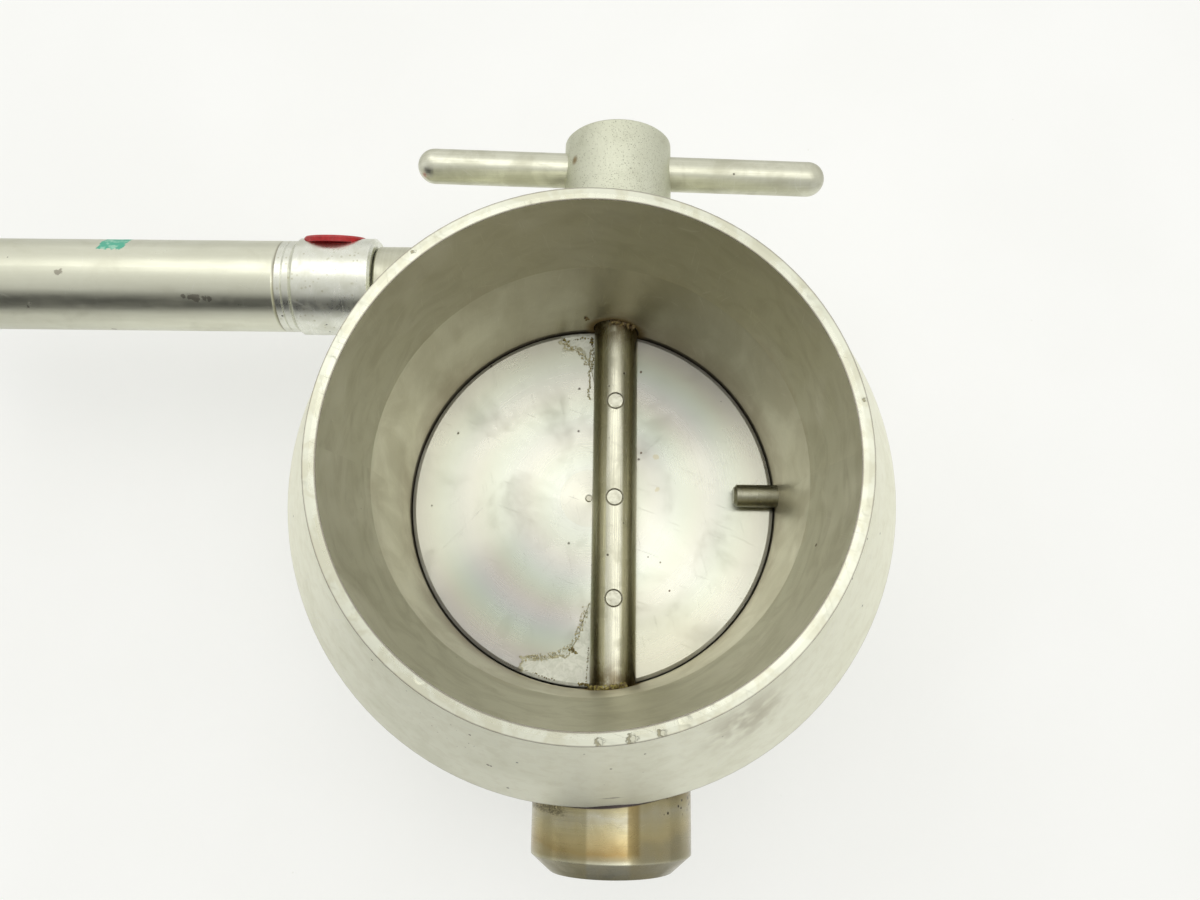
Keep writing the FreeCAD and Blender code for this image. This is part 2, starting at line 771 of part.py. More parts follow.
def bearing_cover():
    """The cover of the gear housing, with a low spigot and three screw holes."""
    inner = shaft_radius + running_gap + cover_bushing_wall
    spigot = tip_radius + gear_room
    outline = [
        (inner, 0),
        (spigot, 0),
        (spigot, gasket_thickness),
        (pad_radius, gasket_thickness),
        (pad_radius, gasket_thickness + cover_thickness - cover_bevel),
        (pad_radius - cover_bevel, gasket_thickness + cover_thickness),
        (inner, gasket_thickness + cover_thickness),
    ]
    blank = turned("bearing_cover_blank", outline, TO_TOP, shaft_side, pad_top, shaft_height)
    holes = cover_screw_holes("cover", screw_radius, pad_top - cut_overrun, cut_overrun)
    heads = cover_screw_holes("cover_head", screw_head_radius,
                              cover_top - screw_head_length, cut_overrun)
    return cut("bearing_cover", blank, holes + heads)


def cover_gasket():
    """The thin gasket under the cover."""
    blank = along_shaft("cover_gasket_blank", tip_radius + gear_room, pad_radius,
                        pad_top, cover_foot)
    holes = cover_screw_holes("gasket", screw_radius, pad_top - cut_overrun, cut_overrun)
    return cut("cover_gasket", blank, holes)


def cover_screws():
    """Socket screws that hold the cover down, flush in their counterbores."""
    length = screw_head_length + screw_length
    outline = [
        (0, 0),
        (screw_radius, 0),
        (screw_radius, screw_length),
        (screw_head_radius, screw_length),
        (screw_head_radius, length),
        (0, length),
    ]
    screws = []
    for number, (x, z) in enumerate(screw_places()):
        blank = turned(f"cover_screw_blank_{number}", outline, TO_TOP, x,
                       cover_top - length, z)
        socket = hexagon(f"cover_screw_socket_{number}", screw_socket,
                         screw_head_length / 2 + cut_overrun, TO_TOP, x,
                         cover_top - screw_head_length / 2, z)
        screws.append(cut(f"cover_screw_{number}", blank, [socket]))
    return grouped("cover_screws", screws)


def rack_end_plug():
    """The screwed plug that closes the rack's bore, with a hexagon socket."""
    length = rack_plug_length + rack_plug_head
    outline = [
        (0, 0),
        (rack_plug_radius, 0),
        (rack_plug_radius, rack_plug_length),
        (rack_plug_flange, rack_plug_length),
        (rack_plug_flange, length - head_bevel),
        (rack_plug_flange - head_bevel, length),
        (0, length),
    ]
    start = horn_end - rack_plug_length
    blank = turned("rack_end_plug_blank", outline, TO_RIGHT, start, rack_place, rack_height)
    socket = hexagon("rack_end_plug_socket", socket_radius, socket_depth + cut_overrun, TO_RIGHT,
                     start + length - socket_depth, rack_place, rack_height)
    return cut("rack_end_plug", blank, [socket])


def rack_neck():
    """The turned neck that carries the air cylinder on the gear housing."""
    end = neck_spigot_length + neck_length
    thread = end - nose_length + neck_gap - nose_end_gap
    outline = [
        (neck_bore, 0),
        (neck_spigot_radius, 0),
        (neck_spigot_radius, neck_spigot_length),
        (horn_radius - neck_bevel, neck_spigot_length),
        (horn_radius, neck_spigot_length + neck_bevel),
        (horn_radius, end - neck_bevel),
        (horn_radius - neck_bevel, end),
        (nose_radius, end),
        (nose_radius, thread),
        (neck_bore, thread),
    ]
    return turned("rack_neck", outline, TO_LEFT, neck_start, rack_place, rack_height)


def turned_rings(radius, start):
    """Corners of the ring grooves on the head's shoulder, each with its ring after it."""
    corners = []
    for number in range(ring_count):
        groove = start + ring_pitch * number
        corners += [
            (radius, groove),
            (radius - ring_groove_depth, groove + ring_groove_width / 2),
            (radius, groove + ring_groove_width),
        ]
    return corners


def front_head():
    """The aluminium front head: nose, body with a side port, ringed shoulder and spigot."""
    body_end = nose_length + front_head_length
    shoulder = tube_bore + tube_wall
    shoulder_start = body_end - ring_pitch * ring_count
    end = body_end + spigot_length
    seal_at = rod_bushing_length
    chamber_at = seal_at + rod_seal_length
    clear = rod_radius + running_gap
    outline = [
        (clear + rod_bushing_wall, 0),
        (nose_radius, 0),
        (nose_radius, nose_length),
        (head_radius - head_bevel, nose_length),
        (head_radius, nose_length + head_bevel),
        (head_radius, shoulder_start - head_bevel),
    ]
    outline += turned_rings(shoulder, shoulder_start)
    outline += [
        (shoulder, body_end),
        (tube_bore - lip_depth, body_end),
        (tube_bore, body_end + lip_length),
        (tube_bore, end),
        (chamber_radius, end),
        (chamber_radius, chamber_at),
        (clear + rod_seal_wall, chamber_at),
        (clear + rod_seal_wall, seal_at),
        (clear + rod_bushing_wall, seal_at),
    ]
    blank = turned("front_head_blank", outline, TO_LEFT, nose_start, rack_place, rack_height)
    port = port_item(rod("front_port", port_radius, head_radius, UPRIGHT, 0, 0, 0), 0)
    spot = port_item(rod("front_port_spot", port_spot_radius, head_radius, UPRIGHT, 0, 0, 0),
                     port_face)
    return cut("front_head", blank, [port, spot])


def port_item(item, rise):
    """Stand an object on the side port's axis, rise above the cylinder's centre line."""
    lean = math.radians(port_turn.number)
    rise = as_size(rise)
    up = Size(rise.number * math.cos(lean), f"({rise.formula} * cos({port_turn.formula} * 1 deg))")
    out = Size(rise.number * math.sin(lean), f"({rise.formula} * sin({port_turn.formula} * 1 deg))")
    place(item, UPRIGHT, head_face - port_place, rack_place + up, rack_height + out)
    return turn_by(item, FreeCAD.Vector(-1, 0, 0), 90 - port_turn)


def front_port_plug():
    """The moulded plug in the side port: a thin flange and a tapered stem."""
    taper = port_radius / 10
    length = port_plug_length + port_plug_flange
    outline = [
        (0, 0),
        (port_radius - taper, 0),
        (port_radius, port_plug_length / 2),
        (port_radius, port_plug_length),
        (port_plug_radius, port_plug_length),
        (port_plug_radius, length - port_plug_flange / 4),
        (port_plug_radius - port_plug_flange / 4, length),
        (0, length),
    ]
    plug = turned("front_port_plug", outline, UPRIGHT, 0, 0, 0)
    return port_item(plug, port_face - port_plug_length)


def cylinder_tube():
    """The thin steel tube, its ends curled in over both heads' spigots."""
    outer = tube_bore + tube_wall
    outline = [
        (tube_bore - lip_depth, 0),
        (outer - lip_depth, 0),
        (outer, lip_length),
        (outer, tube_length - lip_length),
        (outer - lip_depth, tube_length),
        (tube_bore - lip_depth, tube_length),
        (tube_bore, tube_length - lip_length),
        (tube_bore, lip_length),
    ]
    return turned("cylinder_tube", outline, TO_LEFT, tube_start, rack_place, rack_height)


def rear_head():
    """The aluminium rear head, with its threaded port on the centre line."""
    end = spigot_length + rear_head_length
    port_at = end - rear_port_depth
    outline = [
        (rear_vent_radius, 0),
        (tube_bore, 0),
        (tube_bore, spigot_length - lip_length),
        (tube_bore - lip_depth, spigot_length),
        (head_radius - head_bevel, spigot_length),
        (head_radius, spigot_length + head_bevel),
        (head_radius, end - head_bevel),
        (head_radius - head_bevel, end),
        (rear_port_radius, end),
        (rear_port_radius, port_at),
        (rear_vent_radius, port_at),
    ]
    return turned("rear_head", outline, TO_LEFT, rear_spigot_end, rack_place, rack_height)


def on_cylinder(name, inner, outer, length, start):
    """A sleeve on the air cylinder's centre line, from start towards -X."""
    return ring(name, inner, outer, length, TO_LEFT, start, rack_place, rack_height)


def piston_rod():
    """The rod: screwed into the rack, shouldered and reduced for the piston."""
    rack_face = shaft_side - rack_left
    body_length = rack_face - piston_face
    tip_length = piston_length + nut_length
    outline = [
        (0, 0),
        (rod_thread_radius, 0),
        (rod_thread_radius, rod_thread_length),
        (rod_radius, rod_thread_length),
        (rod_radius, rod_thread_length + body_length),
        (piston_thread_radius, rod_thread_length + body_length),
        (piston_thread_radius, rod_thread_length + body_length + tip_length),
        (0, rod_thread_length + body_length + tip_length),
    ]
    return turned("piston_rod", outline, TO_LEFT, rack_face + rod_thread_length,
                  rack_place, rack_height)


def piston():
    """The piston, grooved for its seal."""
    outer = tube_bore - piston_gap
    groove = outer - piston_groove
    seal_at = (piston_length - piston_seal_length) / 2
    outline = [
        (piston_thread_radius, 0),
        (outer, 0),
        (outer, seal_at),
        (groove, seal_at),
        (groove, seal_at + piston_seal_length),
        (outer, seal_at + piston_seal_length),
        (outer, piston_length),
        (piston_thread_radius, piston_length),
    ]
    return turned("piston", outline, TO_LEFT, piston_face, rack_place, rack_height)


def piston_nut():
    """The nut that holds the piston on the rod."""
    blank = hexagon("piston_nut_blank", nut_radius, nut_length, TO_LEFT,
                    piston_back, rack_place, rack_height)
    hole = rod("piston_nut_hole", piston_thread_radius, nut_length + cut_overrun * 2, TO_LEFT,
               piston_back + cut_overrun, rack_place, rack_height)
    return cut("piston_nut", blank, [hole])


def return_spring():
    """The spring between the piston and the rear head, of flat-sided wire as a die spring."""
    half_width = spring_wire_width.number / 2
    half_height = spring_wire_height.number / 2
    length = piston_back.number - rear_spigot_end.number - 2 * half_height
    middle = spring_radius.number
    path = Part.makeHelix(length / spring_coil_count, length, middle)
    corners = [
        FreeCAD.Vector(middle - half_width, 0, -half_height),
        FreeCAD.Vector(middle + half_width, 0, -half_height),
        FreeCAD.Vector(middle + half_width, 0, half_height),
        FreeCAD.Vector(middle - half_width, 0, half_height),
    ]
    section = Part.makePolygon(corners + corners[:1])
    item = doc.addObject("Part::Feature", "return_spring")
    item.Shape = Part.Wire(path.Edges).makePipeShell([section], True, True)
    return place(item, TO_LEFT, piston_back - spring_wire_height / 2, rack_place, rack_height)


def handle_hub():
    """The round hub on the shaft's top, crossed by the hand bar."""
    length = hub_top - hub_foot
    socket = shaft_top - hub_foot
    outline = [
        (shaft_radius, 0),
        (hub_radius - hub_bevel, 0),
        (hub_radius, hub_bevel),
        (hub_radius, length - hub_bevel),
        (hub_radius - hub_bevel, length),
        (0, length),
        (0, socket),
        (shaft_radius, socket),
    ]
    blank = turned("handle_hub_blank", outline, TO_TOP, shaft_side, hub_foot, shaft_height)
    bar_hole = rod("handle_bar_hole", bar_radius, hub_radius * 4, UPRIGHT,
                   shaft_side - hub_radius * 2, bar_place, shaft_height)
    bar_hole = bar_item(bar_hole, -(hub_radius * 2))
    screw_hole = rod("set_screw_hole", set_screw_radius, hub_radius + cut_overrun, DOWNWARD,
                     shaft_side, hub_foot + set_screw_rise, shaft_height)
    return cut("handle_hub", blank, [bar_hole, screw_hole])


def bar_item(item, shift):
    """Lay an object along the hand bar's axis, shifted along it from the shaft."""
    lean = math.radians(bar_turn.number)
    across = Size(shift.number * math.cos(lean),
                  f"({shift.formula} * cos({bar_turn.formula} * 1 deg))")
    down = Size(shift.number * math.sin(lean),
                f"({shift.formula} * sin({bar_turn.formula} * 1 deg))")
    place(item, TO_RIGHT, shaft_side + across, bar_place, shaft_height - down)
    return turn_by(item, FreeCAD.Vector(0, 1, 0), 90 + bar_turn)


def handle_bar():
    """The hand bar: a round bar with a ball end each side."""
    straight = bar_length - bar_radius * 2
    start = bar_shift - straight / 2
    middle = bar_item(rod("handle_bar_middle", bar_radius, straight, UPRIGHT, 0, 0, 0), start)
    ends = []
    for name, shift in (("left", start), ("right", start + straight)):
        ball = doc.addObject("Part::Sphere", f"handle_bar_{name}")
        ball.setExpression("Radius", bar_radius.formula)
        ends.append(bar_item(ball, shift))
    return fused("handle_bar", [middle] + ends)


def hub_set_screw():
    """The set screw that clamps the hub on the shaft, from the -Z side."""
    length = hub_radius - shaft_radius - set_screw_recess
    y = hub_foot + set_screw_rise
    blank = rod("hub_set_screw_blank", set_screw_radius, length, DOWNWARD,
                shaft_side, y, shaft_height - shaft_radius)
    socket = hexagon("hub_set_screw_socket", set_screw_radius / 2, length / 3 + cut_overrun, DOWNWARD,
                     shaft_side, y, shaft_height - shaft_radius - length * 2 / 3)
    return cut("hub_set_screw", blank, [socket])


def build():
    """Every sub-part of the valve, from the body out."""
    shaft_clear = shaft_radius + running_gap
    rod_clear = rod_radius + running_gap
    seal_end = seal_start + seal_length
    clip_start = seal_end + lower_bushing_length + free_gap
    chamber_start = nose_start - rod_bushing_length
    return [
        valve_body(),
        stop_pin(),
        lip_seal("upper_shaft_seal", TO_TOP, seal_start),
        along_shaft("upper_bushing", shaft_clear, bearing_radius, seal_end, gear_floor),
        lip_seal("lower_shaft_seal", TO_FOOT, -seal_start),
        along_shaft("lower_bushing", shaft_clear, bearing_radius, -seal_end,
                    -(seal_end + lower_bushing_length)),
        lower_bearing_housing(),
        along_shaft("thrust_washer", shaft_radius / 2, washer_radius,
                    -(plug_start - washer_thickness), -plug_start),
        boss_end_plug(),
        cover_gasket(),
        bearing_cover(),
        along_shaft("cover_bushing", shaft_clear, shaft_clear + cover_bushing_wall,
                    pad_top, cover_top),
        cover_screws(),
        rack_end_plug(),
        rack_neck(),
        front_head(),
        on_cylinder("rod_bushing", rod_clear, rod_clear + rod_bushing_wall,
                    rod_bushing_length, nose_start),
        on_cylinder("rod_seal", rod_clear, rod_clear + rod_seal_wall,
                    rod_seal_length, chamber_start),
        front_port_plug(),
        cylinder_tube(),
        rear_head(),
        on_cylinder("travel_stop", nut_radius, travel_stop_radius,
                    nut_end - rack_travel - travel_stop_gap - rear_spigot_end,
                    nut_end - rack_travel - travel_stop_gap),
        return_spring(),
        shaft(),
        along_shaft("retaining_clip", shaft_radius - clip_depth, clip_radius,
                    -clip_start, -(clip_start + clip_thickness)),
        disc(),
        disc_pins(),
        pinion(),
        key_space("pinion_key"),
        handle_hub(),
        handle_bar(),
        hub_set_screw(),
        rack(),
        piston_rod(),
        piston(),
        on_cylinder("piston_seal", tube_bore - piston_gap - piston_groove,
                    tube_bore - running_gap, piston_seal_length,
                    piston_face - (piston_length - piston_seal_length) / 2),
        piston_nut(),
    ]


nodes = build()
doc.recompute()
faults = [item.Name for item in doc.Objects if "Invalid" in item.State or "Error" in item.State]
faults += [item.Name for item in nodes if item.Shape.isNull() or not item.Shape.isValid()]
if faults:
    raise RuntimeError(f"these did not build: {sorted(set(faults))}")

os.makedirs("parts", exist_ok=True)
for item in nodes:
    item.Shape.exportStep(f"parts/{item.Label}.step")
    print(item.Label, len(item.Shape.Solids), round(item.Shape.Volume, 1))
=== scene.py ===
# %% [markdown]
# # Dressing a pneumatic butterfly valve
# The valve is already built to size in CAD: a turned stainless body with flared ends, a faced
# disc pinned on a shaft, and a round air cylinder that turns the shaft by a rack and pinion.
# This lesson leaves every CAD mesh where it is and gives each surface the finish that the real
# metal has: lathe marks, brushing, blasting, heat tint from welding, stains, nicks and wear.

import math

import bpy
from mathutils import Matrix, Vector


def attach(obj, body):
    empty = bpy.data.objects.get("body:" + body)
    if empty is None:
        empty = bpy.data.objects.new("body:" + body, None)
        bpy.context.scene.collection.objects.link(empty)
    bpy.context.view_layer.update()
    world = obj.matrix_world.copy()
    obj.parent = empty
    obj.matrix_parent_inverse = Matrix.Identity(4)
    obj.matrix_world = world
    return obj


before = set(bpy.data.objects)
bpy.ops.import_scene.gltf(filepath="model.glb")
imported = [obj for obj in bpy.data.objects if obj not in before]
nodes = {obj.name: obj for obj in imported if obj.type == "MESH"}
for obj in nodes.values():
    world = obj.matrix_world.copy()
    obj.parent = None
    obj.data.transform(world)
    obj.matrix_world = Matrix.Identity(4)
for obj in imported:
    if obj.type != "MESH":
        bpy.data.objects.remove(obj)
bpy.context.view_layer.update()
for plain in list(bpy.data.materials):
    bpy.data.materials.remove(plain)

# %% [markdown]
# ## Camera
# The picture was taken from above, a little on the side of the lower boss, with the valve
# standing on its outlet rim. The camera's place, its viewing direction and its upward direction
# were fitted to the round edges of the rim, the band and the disc, so the model and the picture
# line up without moving the model.

# %% Camera
camera_data = bpy.data.cameras.new("camera")
camera_data.sensor_width = 36
camera_data.lens = 29.67
camera_data.clip_start = 0.01
camera = bpy.data.objects.new("camera", camera_data)
bpy.context.scene.collection.objects.link(camera)
bpy.context.scene.camera = camera

eye = Vector((0.0048, -0.0525, 0.3492))
forward = Vector((-0.00984, 0.23637, -0.97161)).normalized()
upward = Vector((-0.01134, 0.97157, 0.23647)).normalized()
sideways = forward.cross(upward)
turn = Matrix((sideways, sideways.cross(forward), -forward)).transposed()
camera.matrix_world = Matrix.Translation(eye) @ turn.to_4x4()
print("camera at", tuple(round(value, 3) for value in eye))

# %% [markdown]
# ## Small helpers for node trees
# Materials are node trees, and building them in code is mostly adding a node, filling its inputs
# and passing its output on. These helpers do that in one call each, so that a finish can be read
# from top to bottom. An input may be a number, a colour or the output of another node.


# %% Node helpers
def add(tree, kind, inputs=None, **settings):
    """Add a node, choose its settings, and set or link its inputs."""
    item = tree.nodes.new(kind)
    for key, value in settings.items():
        setattr(item, key, value)
    for key, value in (inputs or {}).items():
        if isinstance(value, bpy.types.NodeSocket):
            tree.links.new(value, item.inputs[key])
        else:
            item.inputs[key].default_value = value
    return item


def maths(tree, operation, first, second=0.0, third=0.0):
    """One sum on one or more values."""
    inputs = {0: first, 1: second, 2: third}
    return add(tree, "ShaderNodeMath", inputs, operation=operation).outputs[0]


def ease(tree, value, low, high, low_out=0.0, high_out=1.0):
    """A soft step: low_out below low, high_out above high."""
    inputs = {"Value": value, "From Min": low, "From Max": high,
              "To Min": low_out, "To Max": high_out}
    item = add(tree, "ShaderNodeMapRange", inputs, interpolation_type="SMOOTHSTEP")
    return item.outputs[0]


def noise(tree, vector, scale, detail=2.0, roughness=0.5, distortion=0.0):
    """Soft random values between 0 and 1."""
    inputs = {"Vector": vector, "Scale": scale, "Detail": detail,
              "Roughness": roughness, "Distortion": distortion}
    return add(tree, "ShaderNodeTexNoise", inputs).outputs[0]


def mixed(tree, factor, first, second, mode="MIX"):
    """Two colours blended by a factor."""
    item = add(tree, "ShaderNodeMix", data_type="RGBA", blend_type=mode)
    for index, value in ((0, factor), (6, first), (7, second)):
        if isinstance(value, bpy.types.NodeSocket):
            tree.links.new(value, item.inputs[index])
        else:
            item.inputs[index].default_value = value
    return item.outputs[2]


def tone(red, green, blue):
    """A colour with full alpha."""
    return (red, green, blue, 1.0)


def joined(tree, x, y, z=0.0):
    """A vector from three values."""
    return add(tree, "ShaderNodeCombineXYZ", {0: x, 1: y, 2: z}).outputs[0]


def parts_of(tree, vector):
    """The three values of a vector."""
    return add(tree, "ShaderNodeSeparateXYZ", {0: vector}).outputs


# %% [markdown]
# ## Effects that several metals share
# A lathe leaves fine rings, brushing leaves lines along the part, and years of use leave
# blotches, pits and scratches. Each effect is a node group with named inputs, built once, and
# every material uses it with its own values. All lengths in the groups are in millimetres.


# %% Group helpers
def new_group(name, inputs, outputs):
    """An empty shader group with float or vector inputs and its two end nodes."""
    tree = bpy.data.node_groups.new(name, "ShaderNodeTree")
    for label, default in inputs.items():
        kind = "NodeSocketVector" if default is None else "NodeSocketFloat"
        socket = tree.interface.new_socket(label, in_out="INPUT", socket_type=kind)
        if default is not None:
            socket.default_value = default
    for label, kind in outputs.items():
        tree.interface.new_socket(label, in_out="OUTPUT", socket_type=kind)
    start = tree.nodes.new("NodeGroupInput").outputs
    end = tree.nodes.new("NodeGroupOutput").inputs
    return tree, start, end


def use(tree, name, **inputs):
    """Place a group in a tree and give back its outputs."""
    item = add(tree, "ShaderNodeGroup", node_tree=bpy.data.node_groups[name])
    for key, value in inputs.items():
        if isinstance(value, bpy.types.NodeSocket):
            tree.links.new(value, item.inputs[key])
        else:
            item.inputs[key].default_value = value
    return item.outputs


# %% Lathe rings
# Rings change with the radius on a face and with the length on a barrel, so both go in.
tree, start, end = new_group(
    "tool_marks", {"Radius": 0.0, "Along": 0.0, "Fineness": 1.5},
    {"Marks": "NodeSocketFloat"})
where = joined(tree, maths(tree, "MULTIPLY", start["Radius"], start["Fineness"]),
               maths(tree, "MULTIPLY", start["Along"], start["Fineness"]))
fine = noise(tree, where, 1.0, 3.0, 0.65)
broad = noise(tree, where, 0.11, 1.0)
tree.links.new(maths(tree, "ADD", maths(tree, "MULTIPLY", fine, 0.7),
                     maths(tree, "MULTIPLY", broad, 0.3)), end["Marks"])
print("group", tree.name)

# %% Lines along a part
tree, start, end = new_group(
    "streaks", {"Turn": 0.0, "Along": 0.0, "Count": 60.0, "Stretch": 0.05},
    {"Lines": "NodeSocketFloat"})
where = joined(tree, maths(tree, "MULTIPLY", start["Turn"], start["Count"]),
               maths(tree, "MULTIPLY", start["Along"], start["Stretch"]))
tree.links.new(noise(tree, where, 1.0, 3.0, 0.6), end["Lines"])
print("group", tree.name)

# %% Blotches
tree, start, end = new_group(
    "blotches", {"Vector": None, "Size": 10.0, "Amount": 0.3, "Softness": 0.1},
    {"Mask": "NodeSocketFloat"})
scale = maths(tree, "DIVIDE", 1.0, start["Size"])
cloud = noise(tree, start["Vector"], scale, 6.0, 0.6, 0.4)
edge = maths(tree, "SUBTRACT", 0.75, maths(tree, "MULTIPLY", start["Amount"], 0.5))
tree.links.new(ease(tree, cloud, maths(tree, "SUBTRACT", edge, start["Softness"]),
                    maths(tree, "ADD", edge, start["Softness"])), end["Mask"])
print("group", tree.name)

# %% Pits and specks
tree, start, end = new_group(
    "pits", {"Vector": None, "Spacing": 3.0, "Amount": 0.2, "Size": 0.2},
    {"Mask": "NodeSocketFloat"})
cells = add(tree, "ShaderNodeTexVoronoi",
            {"Vector": start["Vector"], "Scale": maths(tree, "DIVIDE", 1.0, start["Spacing"])})
chance = parts_of(tree, cells.outputs["Color"])[0]
chosen = maths(tree, "LESS_THAN", chance, start["Amount"])
spot = ease(tree, cells.outputs["Distance"], maths(tree, "MULTIPLY", start["Size"], 0.5),
            start["Size"], 1.0, 0.0)
tree.links.new(maths(tree, "MULTIPLY", spot, chosen), end["Mask"])
print("group", tree.name)

# %% Scratches
# Noise that is stretched a hundred times in one direction and cut off high up leaves a few
# short, thin lines. Three directions are laid over each other.
tree, start, end = new_group(
    "scratches", {"Vector": None, "Length": 14.0, "Amount": 0.3},
    {"Mask": "NodeSocketFloat"})
lines = 0.0
for angle, tilt in ((0.35, 0.2), (1.4, -0.3), (2.5, 0.6)):
    turned_place = add(tree, "ShaderNodeMapping", {
        "Vector": start["Vector"], "Rotation": (tilt, tilt * 0.7, angle)}).outputs[0]
    x, y, z = parts_of(tree, turned_place)
    long_side = maths(tree, "DIVIDE", x, start["Length"])
    where = joined(tree, long_side, maths(tree, "MULTIPLY", y, 5.0),
                   maths(tree, "DIVIDE", z, start["Length"]))
    streak = noise(tree, where, 1.0, 1.0)
    edge = maths(tree, "SUBTRACT", 0.80, maths(tree, "MULTIPLY", start["Amount"], 0.2))
    line = ease(tree, streak, edge, maths(tree, "ADD", edge, 0.04))
    lines = maths(tree, "MAXIMUM", line, lines)
tree.links.new(lines, end["Mask"])
print("group", tree.name)

# %% Edges
# A real edge is never perfectly sharp. The Bevel node rounds the shading near an edge, and
# where it differs from the true normal there is an edge, which handling has polished.
tree, start, end = new_group(
    "edges", {"Width": 0.0003},
    {"Edge": "NodeSocketFloat", "Normal": "NodeSocketVector"})
rounded = add(tree, "ShaderNodeBevel", {"Radius": start["Width"]}, samples=4).outputs[0]
flat = add(tree, "ShaderNodeNewGeometry").outputs["Normal"]
likeness = add(tree, "ShaderNodeVectorMath", {0: rounded, 1: flat}, operation="DOT_PRODUCT")
tree.links.new(ease(tree, likeness.outputs["Value"], 0.995, 0.93), end["Edge"])
tree.links.new(rounded, end["Normal"])
print("group", tree.name)


# %% [markdown]
# ## A material under construction
# Every finish starts the same way: object coordinates turned into millimetres, measured from
# the axis on which the part was turned in the lathe. It ends the same way too, in one
# Principled BSDF. What lies between is the lesson of each finish below.


# %% The Finish class
AXIS_ORDER = {"X": (1, 2, 0), "Y": (2, 0, 1), "Z": (0, 1, 2)}


class Finish:
    """A material being built, with the places that its patterns read, in millimetres."""

    def __init__(self, name, axis="Z", centre=(0.0, 0.0, 0.0)):
        self.material = bpy.data.materials.new(name)
        self.material.use_nodes = True
        self.tree = self.material.node_tree
        self.tree.nodes.clear()
        place = add(self.tree, "ShaderNodeTexCoord").outputs["Object"]
        self.place = add(self.tree, "ShaderNodeMapping", {
            "Vector": place, "Scale": (1000.0, 1000.0, 1000.0)}).outputs[0]
        centred = add(self.tree, "ShaderNodeMapping", {
            "Vector": self.place, "Location": [-value for value in centre]}).outputs[0]
        sides = parts_of(self.tree, centred)
        across, over, along = AXIS_ORDER[axis]
        self.along = sides[along]
        self.radius = self.length_of(sides[across], sides[over])
        self.turn = self.do("ARCTAN2", sides[over], sides[across])

    def do(self, operation, first, second=0.0, third=0.0):
        return maths(self.tree, operation, first, second, third)

    def ease(self, value, low, high, low_out=0.0, high_out=1.0):
        return ease(self.tree, value, low, high, low_out, high_out)

    def mix(self, factor, first, second, mode="MIX"):
        return mixed(self.tree, factor, first, second, mode)

    def use(self, name, output, **inputs):
        if "Vector" in bpy.data.node_groups[name].interface.items_tree:
            inputs.setdefault("Vector", self.place)
        return use(self.tree, name, **inputs)[output]

    def length_of(self, first, second):
        squares = self.do("ADD", self.do("MULTIPLY", first, first),
                          self.do("MULTIPLY", second, second))
        return self.do("SQRT", squares)

    def distance_to(self, point):
        """How far the shaded point is from a point given in millimetres."""
        item = add(self.tree, "ShaderNodeVectorMath", {0: self.place, 1: point},
                   operation="DISTANCE")
        return item.outputs["Value"]

    def marks_at(self, places, ragged=0.35, fineness=1.2):
        """Ragged marks, each placed by x, y, z and its reach in millimetres."""
        wobble = noise(self.tree, self.place, fineness, 4.0, 0.6)
        wobble = self.do("MULTIPLY", self.do("SUBTRACT", wobble, 0.5), 4.0 * ragged)
        mask = 0.0
        for x, y, z, reach in places:
            away = self.do("DIVIDE", self.distance_to((x, y, z)), reach)
            away = self.do("ADD", away, wobble)
            mask = self.do("MAXIMUM", self.ease(away, 0.7, 1.0, 1.0, 0.0), mask)
        return mask

    def close(self, colour, roughness, height=0.0, metallic=1.0, edge=0.25, polish=0.25,
              rings_round=None, anisotropic=0.0):
        """Edges, bump and the Principled BSDF. height is in millimetres.

        rings_round names the axis of turning. The highlight is then stretched across the rings,
        which takes a quarter turn, because Blender stretches it along the tangent.
        """
        tree = self.tree
        edges = use(tree, "edges", Width=edge / 1000)
        lighter = mixed(tree, maths(tree, "MULTIPLY", edges["Edge"], polish),
                        colour, tone(0.9, 0.9, 0.88))
        bump = add(tree, "ShaderNodeBump", {
            "Height": height, "Distance": 0.001, "Normal": edges["Normal"]})
        shader = add(tree, "ShaderNodeBsdfPrincipled", {
            "Base Color": lighter, "Roughness": roughness, "Normal": bump.outputs[0],
            "Metallic": metallic})
        if rings_round:
            rings = add(tree, "ShaderNodeTangent", direction_type="RADIAL", axis=rings_round)
            tree.links.new(rings.outputs[0], shader.inputs["Tangent"])
            shader.inputs["Anisotropic"].default_value = anisotropic
            shader.inputs["Anisotropic Rotation"].default_value = 0.25
        output = tree.nodes.new("ShaderNodeOutputMaterial")
        tree.links.new(shader.outputs[0], output.inputs["Surface"])
        print("finish", self.material.name, "nodes", len(tree.nodes))


# %% [markdown]
# ## Plain turned metal
# Most parts share one recipe. The lathe rings change height and roughness a little, blotches
# of dirt darken and dull the metal, and thin scratches and pits break it up. The function
# gives back colour, roughness and height, so that a special part can go on from there.


